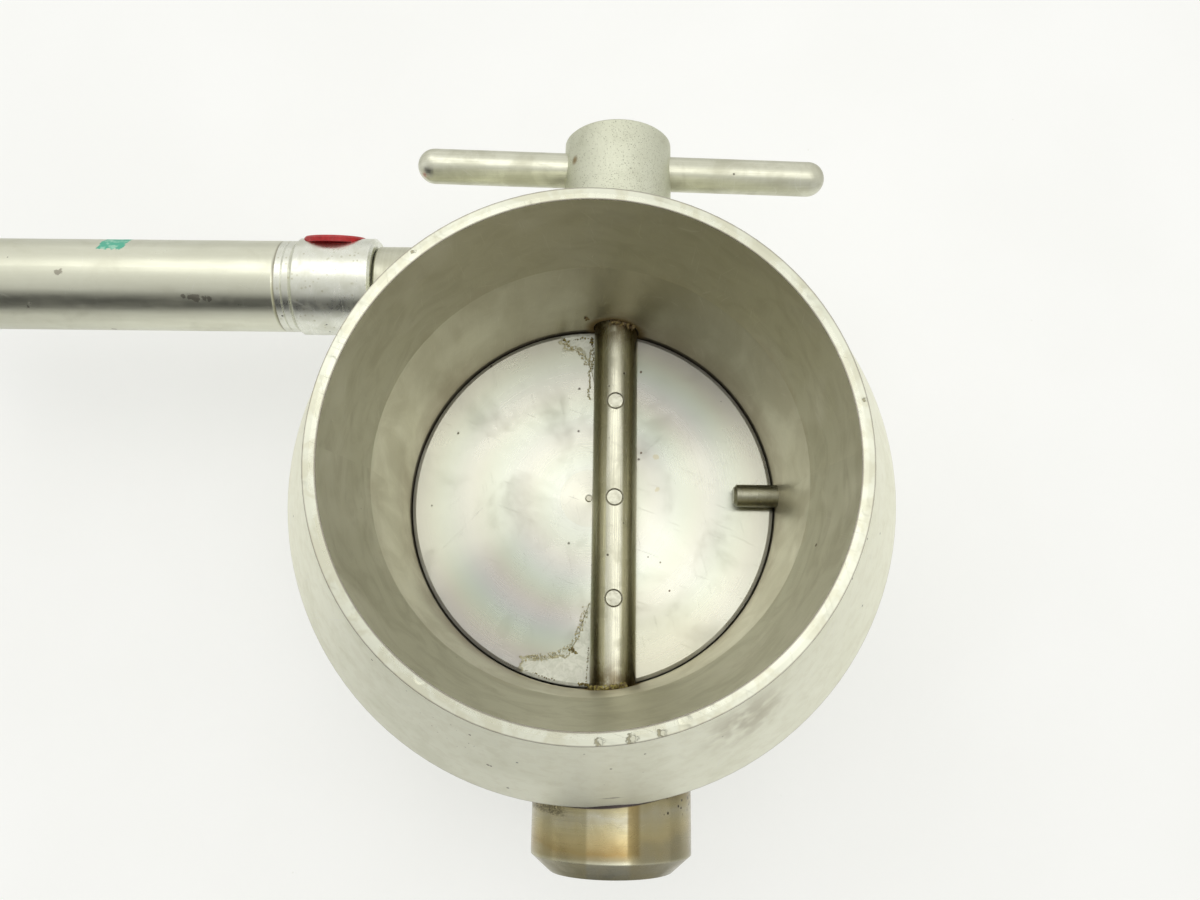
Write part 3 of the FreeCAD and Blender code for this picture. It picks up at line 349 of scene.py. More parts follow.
# %% The shared recipe for metal
def worked_metal(finish, colour, dirt, roughness, fineness=1.5, depth=0.004, stains=0.35,
                 stain_size=14.0, scratched=0.35, pitted=0.05, streaked=0.0, contrast=0.22):
    """Colour, roughness and height of turned or brushed metal with signs of use."""
    if streaked:
        marks = finish.use("streaks", "Lines", Turn=finish.turn, Along=finish.along,
                           Count=streaked)
    else:
        marks = finish.use("tool_marks", "Marks", Radius=finish.radius, Along=finish.along,
                           Fineness=fineness)
    blotch = finish.use("blotches", "Mask", Size=stain_size, Amount=stains, Softness=0.14)
    haze_and_sector_shade = finish.use("blotches", "Mask", Size=stain_size * 3, Amount=0.6, Softness=0.25)
    scratch = finish.use("scratches", "Mask", Amount=scratched)
    pit = finish.use("pits", "Mask", Spacing=2.2, Amount=pitted)
    shaded = finish.mix(finish.ease(marks, 0.3, 0.7, 0.0, contrast), tone(*colour), tone(*dirt))
    shaded = finish.mix(finish.do("MULTIPLY", haze_and_sector_shade, 0.25), shaded, tone(*dirt))
    shaded = finish.mix(finish.do("MULTIPLY", blotch, 0.35), shaded, tone(*dirt))
    shaded = finish.mix(finish.do("MULTIPLY", scratch, 0.35), shaded, tone(0.85, 0.85, 0.82))
    shaded = finish.mix(finish.do("MULTIPLY", pit, 0.8), shaded, tone(0.06, 0.05, 0.04))
    rough = finish.ease(marks, 0.25, 0.75, roughness - contrast * 0.25, roughness + contrast * 0.3)
    rough = finish.do("ADD", rough, finish.do("MULTIPLY", blotch, 0.10))
    rough = finish.do("ADD", rough, finish.do("MULTIPLY", haze_and_sector_shade, 0.05))
    height = finish.do("MULTIPLY", marks, depth * 10)
    height = finish.do("SUBTRACT", height, finish.do("MULTIPLY", scratch, 0.012))
    height = finish.do("SUBTRACT", height, finish.do("MULTIPLY", pit, 0.06))
    return shaded, rough, height


# %% [markdown]
# ## The valve body
# One ring turned from stainless steel, seen from above: a bright faced rim with nicks, a satin
# olive-grey wall inside with cloudy smears and painted shade, darker and browner towards the hub's
# side, and a pale flare outside.
# One material covers all of it, because the radius and the height tell the zones apart:
# everything inside 62.5 mm is the passage, and everything above 134.9 mm is the rim's face.
# A thin dark ring is painted on the seat, where the disc's edge closes, as painted shade.

# %% Valve body finish
RIM_TOP = 134.9
RIM_INSIDE, RIM_OUTSIDE = 61.0, 64.0
WALL_MIDDLE = 62.5
STEP_HEIGHT = 111.0
SEAT_TOP = 71.0
BAND_TOP = 92.0
SHAFT_X, SHAFT_Z = 6.3, 72.0

body = Finish("body_stainless")
colour, rough, height = worked_metal(
    body, (0.98, 0.985, 0.835), (0.74, 0.74, 0.59), 0.42, fineness=1.1, depth=0.0008,
    stains=0.3, stain_size=18.0, scratched=0.35, pitted=0.015, contrast=0.10)
inside = body.do("LESS_THAN", body.radius, WALL_MIDDLE)
outside = body.do("GREATER_THAN", body.radius, WALL_MIDDLE)
smear_place = joined(body.tree, body.do("MULTIPLY", body.turn, 5.0),
                     body.do("MULTIPLY", body.along, 0.035))
smear = noise(body.tree, smear_place, 1.0, 4.0, 0.55, 0.8)
cloud = body.use("blotches", "Mask", Size=22.0, Amount=0.55, Softness=0.2)
wall_colour = body.mix(body.ease(smear, 0.36, 0.68), tone(0.66, 0.63, 0.48),
                       tone(0.80, 0.775, 0.62))
wall_colour = body.mix(body.do("MULTIPLY", cloud, 0.35), wall_colour, tone(0.50, 0.465, 0.34))
step_waver = body.do("MULTIPLY", body.do("SUBTRACT", smear, 0.5), 14.0)
below_step = body.ease(body.do("ADD", body.along, step_waver), STEP_HEIGHT + 1.6,
                       STEP_HEIGHT - 1.6)
# Above the step the cone is painted darker: partly smears, partly painted shade for what it
# reflects.
upper_smear = noise(body.tree, joined(body.tree, body.do("MULTIPLY", body.turn, 3.0),
                                      body.do("MULTIPLY", body.along, 0.12)), 1.3, 5.0, 0.6, 1.2)
cone_smear_and_painted_shade = body.mix(body.ease(upper_smear, 0.38, 0.70), tone(0.70, 0.685, 0.535),
                        tone(0.595, 0.575, 0.435))
wall_colour = body.mix(below_step, cone_smear_and_painted_shade, wall_colour)
x, y, z = parts_of(body.tree, body.place)
# Painted shade: the wall on the far side, towards the hub, is painted darker and browner.
wall_colour = body.mix(body.ease(y, 5.0, 55.0, 0.0, 0.55), wall_colour, tone(0.38, 0.355, 0.25))
# Painted shade: a dark ring on the wall at the disc's level, where the gap round the disc is dark.
seat_painted_shade = body.do("MULTIPLY", body.ease(body.along, SEAT_TOP - 4.5, SEAT_TOP - 3.5),
                     body.ease(body.along, SEAT_TOP - 0.7, SEAT_TOP + 0.3, 0.85, 0.0))
blush = body.do("MULTIPLY", body.ease(body.along, 92.0, 74.0, 0.0, 0.5), cloud)
wall_colour = body.mix(blush, wall_colour, tone(0.40, 0.34, 0.24))
wall_colour = body.mix(seat_painted_shade, wall_colour, tone(0.10, 0.085, 0.06))
rubbed = body.use("scratches", "Mask", Amount=0.5, Length=9.0)
wall_colour = body.mix(body.do("MULTIPLY", rubbed, 0.15), wall_colour, tone(0.85, 0.84, 0.72))
colour = body.mix(inside, colour, wall_colour)
rough = body.do("SUBTRACT", rough, body.do("MULTIPLY", inside, 0.08))

# %% The flare outside
# A thin dark line marks where the flare meets the thick band, and faint blotches stain it.
off_band_edge = body.do("ABSOLUTE", body.do("SUBTRACT", body.along, BAND_TOP))
band_line = body.do("MULTIPLY", body.ease(off_band_edge, 0.12, 0.5, 0.45, 0.0), outside)
colour = body.mix(band_line, colour, tone(0.24, 0.21, 0.22))
flare_spot = body.use("blotches", "Mask", Size=3.5, Amount=0.42, Softness=0.10)
colour = body.mix(body.do("MULTIPLY", outside, body.do("MULTIPLY", flare_spot, 0.12)), colour,
                  tone(0.60, 0.55, 0.38))

# %% Rim face, its edges and nicks
# A dark line runs along both edges of the rim, and knocks have nicked its near side.
# Each of the nicks is the part of a mark that its raised, shifted copy doesn't cover, so it is a
# crescent; it is dented, and painted dark as painted shade inside the dent.
NICKS = ((3.2, -62.9, 135.0, 1.0), (10.0, -62.3, 135.0, 1.2), (16.2, -61.0, 135.0, 1.0),
         (-42.0, 47.0, 135.0, 0.5), (62.0, 11.9, 135.0, 0.5))
rim = body.do("GREATER_THAN", body.along, RIM_TOP)
dull_spot = body.use("blotches", "Mask", Size=6.0, Amount=0.5, Softness=0.08)
rim_colour = body.mix(body.do("MULTIPLY", dull_spot, 0.45), tone(0.635, 0.645, 0.54),
                      tone(0.49, 0.47, 0.34))
colour = body.mix(rim, colour, rim_colour)
for edge_radius, darkness in ((RIM_INSIDE, 0.75), (RIM_OUTSIDE, 0.6)):
    off_edge = body.do("ABSOLUTE", body.do("SUBTRACT", body.radius, edge_radius))
    line = body.do("MULTIPLY", rim, body.ease(off_edge, 0.10, 0.42, darkness, 0.0))
    colour = body.mix(line, colour, tone(0.16, 0.13, 0.10))
small_nick = body.use("pits", "Mask", Spacing=5.0, Amount=0.5, Size=0.3)
height = body.do("SUBTRACT", height,
                 body.do("MULTIPLY", body.do("MULTIPLY", rim, small_nick), 0.05))
nick_dent_and_painted_shade = body.marks_at(NICKS, 0.5, 1.4)
raised_side = body.marks_at([(x + 0.5, y + 0.15, z, reach * 0.9) for x, y, z, reach in NICKS],
                            0.5, 1.4)
nick_dent_and_painted_shade = body.do("SUBTRACT", nick_dent_and_painted_shade, body.do("MULTIPLY", raised_side, 0.85))
height = body.do("SUBTRACT", height, body.do("MULTIPLY", nick_dent_and_painted_shade, 0.08))
# The crescents are dented and also painted dark, as painted shade inside the dents.
colour = body.mix(body.do("MAXIMUM", body.do("MULTIPLY", nick_dent_and_painted_shade, 0.8), 0.0), colour,
                  tone(0.26, 0.24, 0.15))
rough = body.do("SUBTRACT", rough, body.do("MULTIPLY", rim, 0.12))

# %% Specks, and crust where the shaft enters the wall
SPECKS = ((5.9, -69.6, 116.5, 0.42), (-22.7, -69.6, 108.7, 0.40), (-22.0, -69.9, 108.7, 0.36),
          (13.3, -65.9, 122.6, 0.30), (-18.9, -75.7, 97.8, 0.45), (-25.4, -62.4, 122.2, 0.35),
          (-47.8, -46.5, 123.8, 0.30), (53.3, -18.8, 119.0, 0.5), (-33.0, 42.0, 105.0, 0.4))
speck = body.use("pits", "Mask", Spacing=2.6, Amount=0.04, Size=0.065)
speck = body.do("MULTIPLY", speck, body.use("blotches", "Mask", Size=30.0, Amount=0.55))
speck = body.do("MAXIMUM", speck, body.marks_at(SPECKS))
pitting = body.use("pits", "Mask", Spacing=1.1, Amount=0.30, Size=0.22)
for place, reach in (((-29.0, -46.0, 106.0), 13.0), ((-31.5, -62.0, 117.0), 12.0)):
    near_pits = body.ease(body.distance_to(place), 3.0, reach, 0.8, 0.0)
    speck = body.do("MAXIMUM", speck, body.do("MULTIPLY", pitting, near_pits))
colour = body.mix(body.do("MULTIPLY", speck, 0.85), colour, tone(0.13, 0.08, 0.04))
# Painted reflection: a dark patch just above the boss on the near side stands in for the boss
# mirrored there.
beside = body.do("ABSOLUTE", body.do("SUBTRACT", x, SHAFT_X))
above = body.do("ABSOLUTE", body.do("SUBTRACT", z, 98.0))
boss_painted_reflection = body.do("ADD", above, body.do("MULTIPLY", beside, 0.16))
boss_painted_reflection = body.do("ADD", boss_painted_reflection, body.do("MULTIPLY", noise(body.tree, body.place, 0.8), 0.6))
boss_painted_reflection = body.do("MULTIPLY", body.ease(boss_painted_reflection, 0.5, 1.0, 0.55, 0.0), body.do("LESS_THAN", y, 0.0))
colour = body.mix(boss_painted_reflection, colour, tone(0.25, 0.21, 0.16))
# Painted shade: a soft dark patch on the flare's near right side.
flare_painted_shade = body.ease(body.distance_to((36.0, -58.0, 119.0)), 2.0, 16.0, 0.52, 0.0)
flare_painted_shade = body.do("MULTIPLY", flare_painted_shade, body.ease(noise(body.tree, body.place, 0.16), 0.35,
                                                       0.6))
colour = body.mix(flare_painted_shade, colour, tone(0.43, 0.385, 0.28))

for side in (1, -1):
    near = body.distance_to((SHAFT_X, side * 52.0, SHAFT_Z))
    crust = body.use("blotches", "Mask", Size=2.6, Amount=0.9, Softness=0.10)
    crust = body.do("MULTIPLY", crust, body.ease(near, 7.0, 10.5, 0.95, 0.0))
    colour = body.mix(crust, colour, tone(0.20, 0.14, 0.05))
    rough = body.do("ADD", rough, body.do("MULTIPLY", crust, 0.25))
    height = body.do("ADD", height, body.do("MULTIPLY", crust, 0.08))
bright = body.do("MAXIMUM", inside, rim)
metal = body.do("ADD", 0.8, body.do("MULTIPLY", bright, 0.2))
body.close(colour, rough, height, metallic=metal, edge=0.25, polish=0.2, rings_round="Z",
           anisotropic=0.75)

# %% [markdown]
# ## The disc
# A disc faced in a lathe shines in two bright sectors, because its rings scatter light across
# themselves and not along. The Tangent node turns round the disc's centre and Anisotropic
# stretches the highlight across the rings. The cutter's turning centre is about a millimetre
# off the disc's own. A very faint iridescent sheen, as rings as fine as the light's wavelength
# give, is painted into the colour, and two greyer sectors across it are painted shade.

# %% Disc finish
TURNING_CENTRE = (-1.0, 1.2, 0.0)
DISC_TOP = 69.5
SECTOR_SHADE_TURN = math.radians(57)

disc = Finish("disc_steel", "Z", TURNING_CENTRE)
colour, rough, height = worked_metal(
    disc, (0.68, 0.692, 0.61), (0.53, 0.535, 0.44), 0.25, fineness=2.2, depth=0.0002,
    stains=0.25, stain_size=16.0, scratched=0.25, pitted=0.015, contrast=0.045)
# Painted sheen: a faint iridescent colour that changes with the radius.
tint_phase = disc.do("ADD", disc.do("MULTIPLY", disc.radius, 0.42),
                     noise(disc.tree, disc.place, 0.06))
waves = [disc.do("ADD", 0.5, disc.do("MULTIPLY", disc.do(
    "SINE", disc.do("ADD", tint_phase, lag)), 0.5)) for lag in (0.0, 2.1, 4.2)]
painted_iridescence = add(disc.tree, "ShaderNodeCombineColor", dict(enumerate(waves))).outputs[0]
colour = disc.mix(0.014, colour, painted_iridescence)
# Painted shade: two greyer sectors across the disc stand in for the dark fans of its reflection.
sector = disc.do("ABSOLUTE", disc.do("COSINE", disc.do("SUBTRACT", disc.turn, SECTOR_SHADE_TURN)))
haze_and_sector_shade = disc.do("MULTIPLY", disc.ease(sector, 0.78, 0.98), disc.ease(disc.radius, 10.0, 34.0))
x, y, z = parts_of(disc.tree, disc.place)
haze_and_sector_shade = disc.do("MULTIPLY", haze_and_sector_shade, disc.ease(y, -20.0, 20.0, 1.0, 0.66))
sector_shade_colour = disc.mix(0.035, tone(0.40, 0.41, 0.365), painted_iridescence)
colour = disc.mix(disc.do("MULTIPLY", haze_and_sector_shade, 0.85), colour, sector_shade_colour)
cream = disc.ease(disc.distance_to((20.0, -42.0, 69.5)), 6.0, 24.0, 0.6, 0.0)
colour = disc.mix(cream, colour, tone(0.55, 0.535, 0.42))
centre_mark = disc.ease(disc.radius, 0.7, 1.2, 1.0, 0.0)
centre_zone = disc.ease(disc.radius, 8.0, 8.6, 1.0, 0.0)
colour = disc.mix(disc.do("MULTIPLY", centre_zone, 0.30), colour, tone(0.62, 0.60, 0.48))
colour = disc.mix(disc.do("MULTIPLY", centre_mark, 0.5), colour, tone(0.30, 0.27, 0.20))
height = disc.do("SUBTRACT", height, disc.do("MULTIPLY", centre_mark, 0.15))

# %% Dried film on the disc
# Sealant crept out at the shaft's ends and dried on the disc as a pale film. Its shore runs
# across the disc and then up along the shaft, pushed in and out by noise. Each row gives the
# side, the shore's distance from the middle, the far end in x, the x of the bend, and how
# steeply the shore climbs from there.
FILMS = ((-1, 43.8, -19.0, -8.0, 0.28), (1, 46.2, -9.6, -4.5, 0.50))
ripple = disc.do("SUBTRACT", noise(disc.tree, disc.place, 0.30, 5.0, 0.65, 0.6), 0.5)
wrinkle = noise(disc.tree, disc.place, 0.45, 5.0, 0.6, 1.5)
on_top = disc.do("GREATER_THAN", z, DISC_TOP - 0.4)
film_colour = disc.mix(disc.ease(wrinkle, 0.36, 0.62), tone(0.76, 0.785, 0.68),
                       tone(0.92, 0.94, 0.84))
all_film = 0.0
for side, shore_y, far_x, bend_x, climb in FILMS:
    past_bend = disc.do("MAXIMUM", disc.do("SUBTRACT", x, bend_x), 0.0)
    rise = disc.do("MULTIPLY", disc.do("MULTIPLY", past_bend, past_bend), climb)
    rise = disc.do("MINIMUM", rise, 15.0)
    beyond = disc.do("SUBTRACT", disc.do("SUBTRACT", shore_y, rise), disc.do("MULTIPLY", y, side))
    shore = disc.do("MAXIMUM", beyond, disc.do("SUBTRACT", far_x, x))
    shore = disc.do("ADD", shore, disc.do("MULTIPLY", ripple, 6.0))
    shore = disc.do("MAXIMUM", shore, disc.do("SUBTRACT", x, SHAFT_X))
    film = disc.do("MULTIPLY", on_top, disc.ease(shore, 0.6, -0.3))
    line = disc.do("MULTIPLY", on_top, disc.ease(disc.do("ABSOLUTE", shore), 0.05, 0.55, 0.7, 0.0))
    line = disc.do("MULTIPLY", line, disc.ease(wrinkle, 0.35, 0.55))
    all_film = disc.do("MAXIMUM", film, all_film)
    colour = disc.mix(disc.do("MULTIPLY", film, 0.85), colour, film_colour)
    colour = disc.mix(line, colour, tone(0.50, 0.45, 0.20))
    rough = disc.do("ADD", rough, disc.do("MULTIPLY", film, 0.10))
    raised = disc.do("MULTIPLY", film, disc.ease(wrinkle, 0.3, 0.7, 0.02, 0.045))
    height = disc.do("ADD", height, disc.do("ADD", raised, disc.do("MULTIPLY", line, 0.10)))

DISC_SPECKS = ((13.8, 39.5, 69.5, 0.40), (13.9, 14.8, 69.5, 0.36), (19.5, -17.0, 69.5, 0.30),
               (22.0, -25.0, 69.5, 0.34), (16.0, -15.5, 69.5, 0.25))
speck = disc.marks_at(DISC_SPECKS)
colour = disc.mix(disc.do("MULTIPLY", speck, 0.8), colour, tone(0.10, 0.06, 0.03))
stain = disc.marks_at(((18.3, 13.6, 69.5, 0.9), (18.5, 4.0, 69.5, 0.8)), 0.5)
colour = disc.mix(disc.do("MULTIPLY", stain, 0.4), colour, tone(0.50, 0.42, 0.20))
metal = disc.do("SUBTRACT", 1.0, disc.do("MULTIPLY", all_film, 0.45))
disc.close(colour, rough, height, metallic=metal, edge=0.15, polish=0.1, rings_round="Z",
           anisotropic=1.0)

# %% [markdown]
# ## Shaft, pins and hand bar
# The shaft is ground, so it is smoother than the body and mirrors the dark cone on both sides;
# its upper flanks are also painted darker, as a painted reflection of the cone.
# A thin dark line of dried dirt shows round each pin where it meets the shaft. The hand bar is
# brushed along its length, and the hub was blasted to a dull, faintly speckled surface.

# %% Shaft finish
PIN_PLACES = (-28.0, 0.0, 28.0)
PIN_RADIUS = 2.38

shaft = Finish("shaft_steel", "Y", (SHAFT_X, 0.0, SHAFT_Z))
colour, rough, height = worked_metal(
    shaft, (0.74, 0.735, 0.605), (0.42, 0.405, 0.29), 0.24, streaked=34.0, depth=0.0006,
    stains=0.3, stain_size=7.0, scratched=0.4, pitted=0.05, contrast=0.35)
x, y, z = parts_of(shaft.tree, shaft.place)
for pin_y in PIN_PLACES:
    from_pin = shaft.length_of(shaft.do("SUBTRACT", x, SHAFT_X), shaft.do("SUBTRACT", y, pin_y))
    line = shaft.ease(from_pin, PIN_RADIUS, PIN_RADIUS + 0.3, 0.85, 0.0)
    colour = shaft.mix(line, colour, tone(0.10, 0.08, 0.05))
# Painted reflection: the upper flanks are darkened as where they mirror the dark cone.
from_top = shaft.do("ABSOLUTE", shaft.do("SUBTRACT", x, SHAFT_X))
flank_painted_reflection = shaft.do("MULTIPLY", shaft.ease(from_top, 3.6, 4.3, 0.0, 0.55), shaft.do(
    "GREATER_THAN", z, SHAFT_Z))
colour = shaft.mix(flank_painted_reflection, colour, tone(0.26, 0.25, 0.17))
end_dirt = shaft.ease(shaft.do("ABSOLUTE", y), 42.0, 51.0, 0.0, 0.9)
dirt = shaft.use("blotches", "Mask", Size=4.0, Amount=0.75, Softness=0.15)
colour = shaft.mix(shaft.do("MULTIPLY", end_dirt, dirt), colour, tone(0.16, 0.12, 0.06))
shaft.close(colour, rough, height, edge=0.25, rings_round="Y", anisotropic=0.7)

# %% Pin, hub and bar finishes
pin = Finish("pin_steel", "Z", (SHAFT_X, 0.0, 0.0))
colour, rough, height = worked_metal(
    pin, (0.68, 0.68, 0.57), (0.40, 0.385, 0.29), 0.30, fineness=3.0, stains=0.45,
    stain_size=1.6, scratched=0.5, pitted=0.15)
worn = noise(pin.tree, pin.place, 1.4, 3.0)
height = pin.do("ADD", height, pin.do("MULTIPLY", worn, 0.12))
pin.close(colour, rough, height, edge=0.12, polish=0.1)

stop = Finish("stop_steel", "X", (0.0, 1.8, 72.875))
colour, rough, height = worked_metal(
    stop, (0.44, 0.435, 0.34), (0.22, 0.21, 0.145), 0.28, fineness=2.0, stains=0.45,
    stain_size=4.0, scratched=0.5, pitted=0.12)
stop.close(colour, rough, height, edge=0.25)

hub = Finish("hub_steel", "Y", (SHAFT_X, 0.0, SHAFT_Z))
colour, rough, height = worked_metal(
    hub, (0.72, 0.735, 0.595), (0.52, 0.525, 0.40), 0.42, fineness=1.2, depth=0.0002,
    stains=0.3, stain_size=9.0, scratched=0.10, pitted=0.0, contrast=0.08)
grit = noise(hub.tree, hub.place, 2.2, 4.0, 0.75)
height = hub.do("ADD", height, hub.do("MULTIPLY", grit, 0.16))
pit = hub.use("pits", "Mask", Spacing=0.48, Amount=0.6, Size=0.27)
pit_zone = hub.use("blotches", "Mask", Size=9.0, Amount=1.0, Softness=0.2)
pit = hub.do("MULTIPLY", pit, pit_zone)
colour = hub.mix(hub.do("MULTIPLY", pit, 0.95), colour, tone(0.20, 0.19, 0.13))
height = hub.do("SUBTRACT", height, hub.do("MULTIPLY", pit, 0.10))
rust = hub.ease(hub.distance_to((-7.5, 101.8, 82.5)), 0.8, 2.2, 0.9, 0.0)
rust = hub.do("MULTIPLY", rust, hub.use("blotches", "Mask", Size=1.5, Amount=0.9))
colour = hub.mix(rust, colour, tone(0.24, 0.15, 0.04))
hub.close(colour, rough, height, edge=0.3, polish=0.1)

bar = Finish("bar_steel", "X", (0.0, 103.3, 72.0))
colour, rough, height = worked_metal(
    bar, (0.78, 0.785, 0.655), (0.40, 0.39, 0.28), 0.30, streaked=14.0, depth=0.0006,
    stains=0.45, stain_size=8.0, scratched=0.4, pitted=0.01, contrast=0.20)
bar.close(colour, rough, height, edge=0.2)

# %% [markdown]
# ## The welded boss
# Welding heats stainless steel, and the oxide film that grows shows colours in a fixed order:
# pale straw far from the heat, then gold, brown and purple-blue close to it. Here the colours
# run along the boss from the joint to the bevelled end, wavering a little as the torch did.
# A light line just before the bevel is a painted highlight, and a dark line right of the top is a
# painted reflection.

# %% Boss finish
BAND_RADIUS = 80.5
JOINT_Y, END_Y = -78.0, -98.0
BEVEL_Y = -93.6
BEVEL_SHARE = (JOINT_Y - BEVEL_Y) / (JOINT_Y - END_Y)
TINTS_AND_PAINTED_HIGHLIGHT = (
    (0.00, tone(0.20, 0.15, 0.08)),
    (0.13, tone(0.50, 0.45, 0.27)),
    (0.22, tone(0.60, 0.58, 0.46)),
    (0.36, tone(0.66, 0.59, 0.36)),
    (0.52, tone(0.64, 0.51, 0.25)),
    (0.66, tone(0.46, 0.31, 0.11)),
    (0.73, tone(0.46, 0.40, 0.25)),
    # Painted highlight: a light line in the ramp just before the bevel.
    (BEVEL_SHARE - 0.01, tone(0.80, 0.80, 0.64)),
    (BEVEL_SHARE + 0.01, tone(0.27, 0.265, 0.21)),
    (1.00, tone(0.10, 0.095, 0.06)),
)

boss = Finish("welded_stainless", "Y", (SHAFT_X, 0.0, SHAFT_Z))
colour, rough, height = worked_metal(
    boss, (0.62, 0.60, 0.48), (0.34, 0.31, 0.20), 0.20, fineness=1.6, depth=0.0006,
    stains=0.45, stain_size=8.0, scratched=0.4, pitted=0.03)
x, y, z = parts_of(boss.tree, boss.place)
share = add(boss.tree, "ShaderNodeMapRange", {
    "Value": boss.along, "From Min": JOINT_Y, "From Max": END_Y}).outputs[0]
waver = boss.do("SUBTRACT", noise(boss.tree, boss.place, 0.09, 3.0), 0.5)
waver = boss.do("MULTIPLY", waver, boss.ease(share, 0.60, 0.74, 0.45, 0.0))
share = boss.do("ADD", share, waver)
ramp = add(boss.tree, "ShaderNodeValToRGB", {0: share})
while len(ramp.color_ramp.elements) < len(TINTS_AND_PAINTED_HIGHLIGHT):
    ramp.color_ramp.elements.new(0.5)
for element, (place, tint) in zip(ramp.color_ramp.elements, TINTS_AND_PAINTED_HIGHLIGHT):
    element.position = place
    element.color = tint
colour = boss.mix(0.9, colour, ramp.outputs[0])
grey_side = boss.do("MULTIPLY", boss.ease(x, 9.0, 15.0), boss.ease(share, 0.40, 0.58, 0.0, 0.75))
grey_side = boss.do("MULTIPLY", grey_side, boss.ease(share, BEVEL_SHARE, BEVEL_SHARE - 0.03))
colour = boss.mix(grey_side, colour, tone(0.36, 0.35, 0.26))
left_side = boss.ease(x, 0.7, -0.3, 0.0, 0.55)
right_side = boss.ease(x, 10.0, 11.6, 0.0, 0.55)
colour = boss.mix(left_side, colour, tone(0.24, 0.21, 0.10))
colour = boss.mix(right_side, colour, tone(0.22, 0.19, 0.10))
# Painted reflection: a dark line to the right of the boss's top.
dark_painted_reflection = boss.do("MULTIPLY", boss.ease(x, 9.9, 10.6), boss.ease(x, 12.6, 13.8, 0.8, 0.0))
dark_painted_reflection = boss.do("MULTIPLY", dark_painted_reflection, boss.ease(share, 0.74, 0.66))
colour = boss.mix(dark_painted_reflection, colour, tone(0.20, 0.145, 0.055))
patch = boss.use("blotches", "Mask", Size=9.0, Amount=0.5, Softness=0.2)
colour = boss.mix(boss.do("MULTIPLY", patch, 0.35), colour, tone(0.33, 0.27, 0.12))

# %% Dirt and pits along the boss's joint
off_band = boss.do("SUBTRACT", boss.length_of(x, y), BAND_RADIUS)
joint = boss.ease(off_band, 0.15, 0.5, 0.95, 0.0)
colour = boss.mix(joint, colour, tone(0.05, 0.04, 0.045))
scribble_place = add(boss.tree, "ShaderNodeMapping", {
    "Vector": boss.place, "Scale": (1.5, 0.8, 1.5)}).outputs[0]
scribble = noise(boss.tree, scribble_place, 0.8, 3.0, 0.6, 2.0)
scribble = boss.ease(boss.do("ABSOLUTE", boss.do("SUBTRACT", scribble, 0.5)), 0.03, 0.055,
                     0.95, 0.0)
scribble = boss.do("MULTIPLY", scribble, boss.ease(x, -4.0, -8.0))
scribble = boss.do("MULTIPLY", scribble, boss.ease(off_band, 2.0, 3.2, 1.0, 0.0))
toe = boss.use("pits", "Mask", Spacing=1.5, Amount=0.6, Size=0.30)
toe = boss.do("MULTIPLY", toe, boss.ease(off_band, 4.0, 7.0, 0.95, 0.0))
toe = boss.do("MULTIPLY", toe, boss.ease(x, 14.0, 19.0))
dirt = boss.do("MAXIMUM", toe, scribble)
colour = boss.mix(dirt, colour, tone(0.06, 0.05, 0.03))
height = boss.do("SUBTRACT", height, boss.do("MULTIPLY", dirt, 0.10))
boss.close(colour, rough, height, edge=0.3, polish=0.1, rings_round="Y", anisotropic=0.8)

# %% [markdown]
# ## The air cylinder
# The tube is drawn and polished stainless, with a dab of teal paint high on the far side, a few
# rubbed dark marks, and a thin dark line where its end is curled over the head. The heads are
# turned from bright aluminium, and the unused port has a red plastic plug.

# %% Tube finish
CYLINDER_Y, CYLINDER_Z = 71.2, 56.0
PAINT_X = -150.2
TUBE_END_X = -98.2
RUBS = ((-164.6, 69.3, 70.2, 1.1), (-163.4, 69.6, 70.2, 0.8), (-121.6, 62.5, 67.3, 1.3),
        (-119.8, 62.5, 67.3, 1.1), (-124.2, 62.7, 67.5, 1.0), (-122.9, 62.6, 67.4, 1.0),
        (-118.2, 62.4, 67.2, 0.9), (-126.0, 62.8, 67.6, 0.7), (-174.9, 60.0, 64.8, 0.7),
        (-152.8, 57.0, 54.1, 0.8))

tube = Finish("tube_stainless", "X", (0.0, CYLINDER_Y, CYLINDER_Z))
colour, rough, height = worked_metal(
    tube, (0.76, 0.767, 0.635), (0.54, 0.53, 0.41), 0.28, streaked=9.0, depth=0.0003,
    stains=0.25, stain_size=12.0, scratched=0.2, pitted=0.01, contrast=0.12)
rub = tube.marks_at(RUBS, 0.75, 0.7)
colour = tube.mix(tube.do("MULTIPLY", rub, 0.6), colour, tone(0.16, 0.13, 0.10))
end_line = tube.ease(tube.along, TUBE_END_X - 0.8, TUBE_END_X - 0.3, 0.0, 0.65)
colour = tube.mix(end_line, colour, tone(0.22, 0.19, 0.13))

# %% The dab of paint
# The turn is measured from +Y towards +Z, so the dab lies high on the far side.
ragged = noise(tube.tree, tube.place, 0.9, 4.0)
off_dab = tube.do("ABSOLUTE", tube.do("SUBTRACT", tube.along, PAINT_X))
off_dab = tube.do("ADD", off_dab, tube.do("MULTIPLY", ragged, 1.6))
paint = tube.ease(off_dab, 4.7, 5.0, 0.92, 0.0)
turn_edge = tube.do("ADD", tube.turn, tube.do("MULTIPLY", ragged, 0.18))
paint = tube.do("MULTIPLY", paint, tube.ease(turn_edge, 1.16, 1.20, 1.0, 0.0))
paint = tube.do("MULTIPLY", paint, tube.ease(turn_edge, 0.25, 0.3))
thin = tube.ease(noise(tube.tree, tube.place, 0.5, 3.0), 0.45, 0.62)
colour = tube.mix(paint, colour, tube.mix(thin, tone(0.03, 0.42, 0.28), tone(0.28, 0.62, 0.46)))
rough = tube.do("ADD", rough, tube.do("MULTIPLY", paint, 0.2))
height = tube.do("ADD", height, tube.do("MULTIPLY", paint, 0.06))
not_paint = tube.do("SUBTRACT", 1.0, paint)
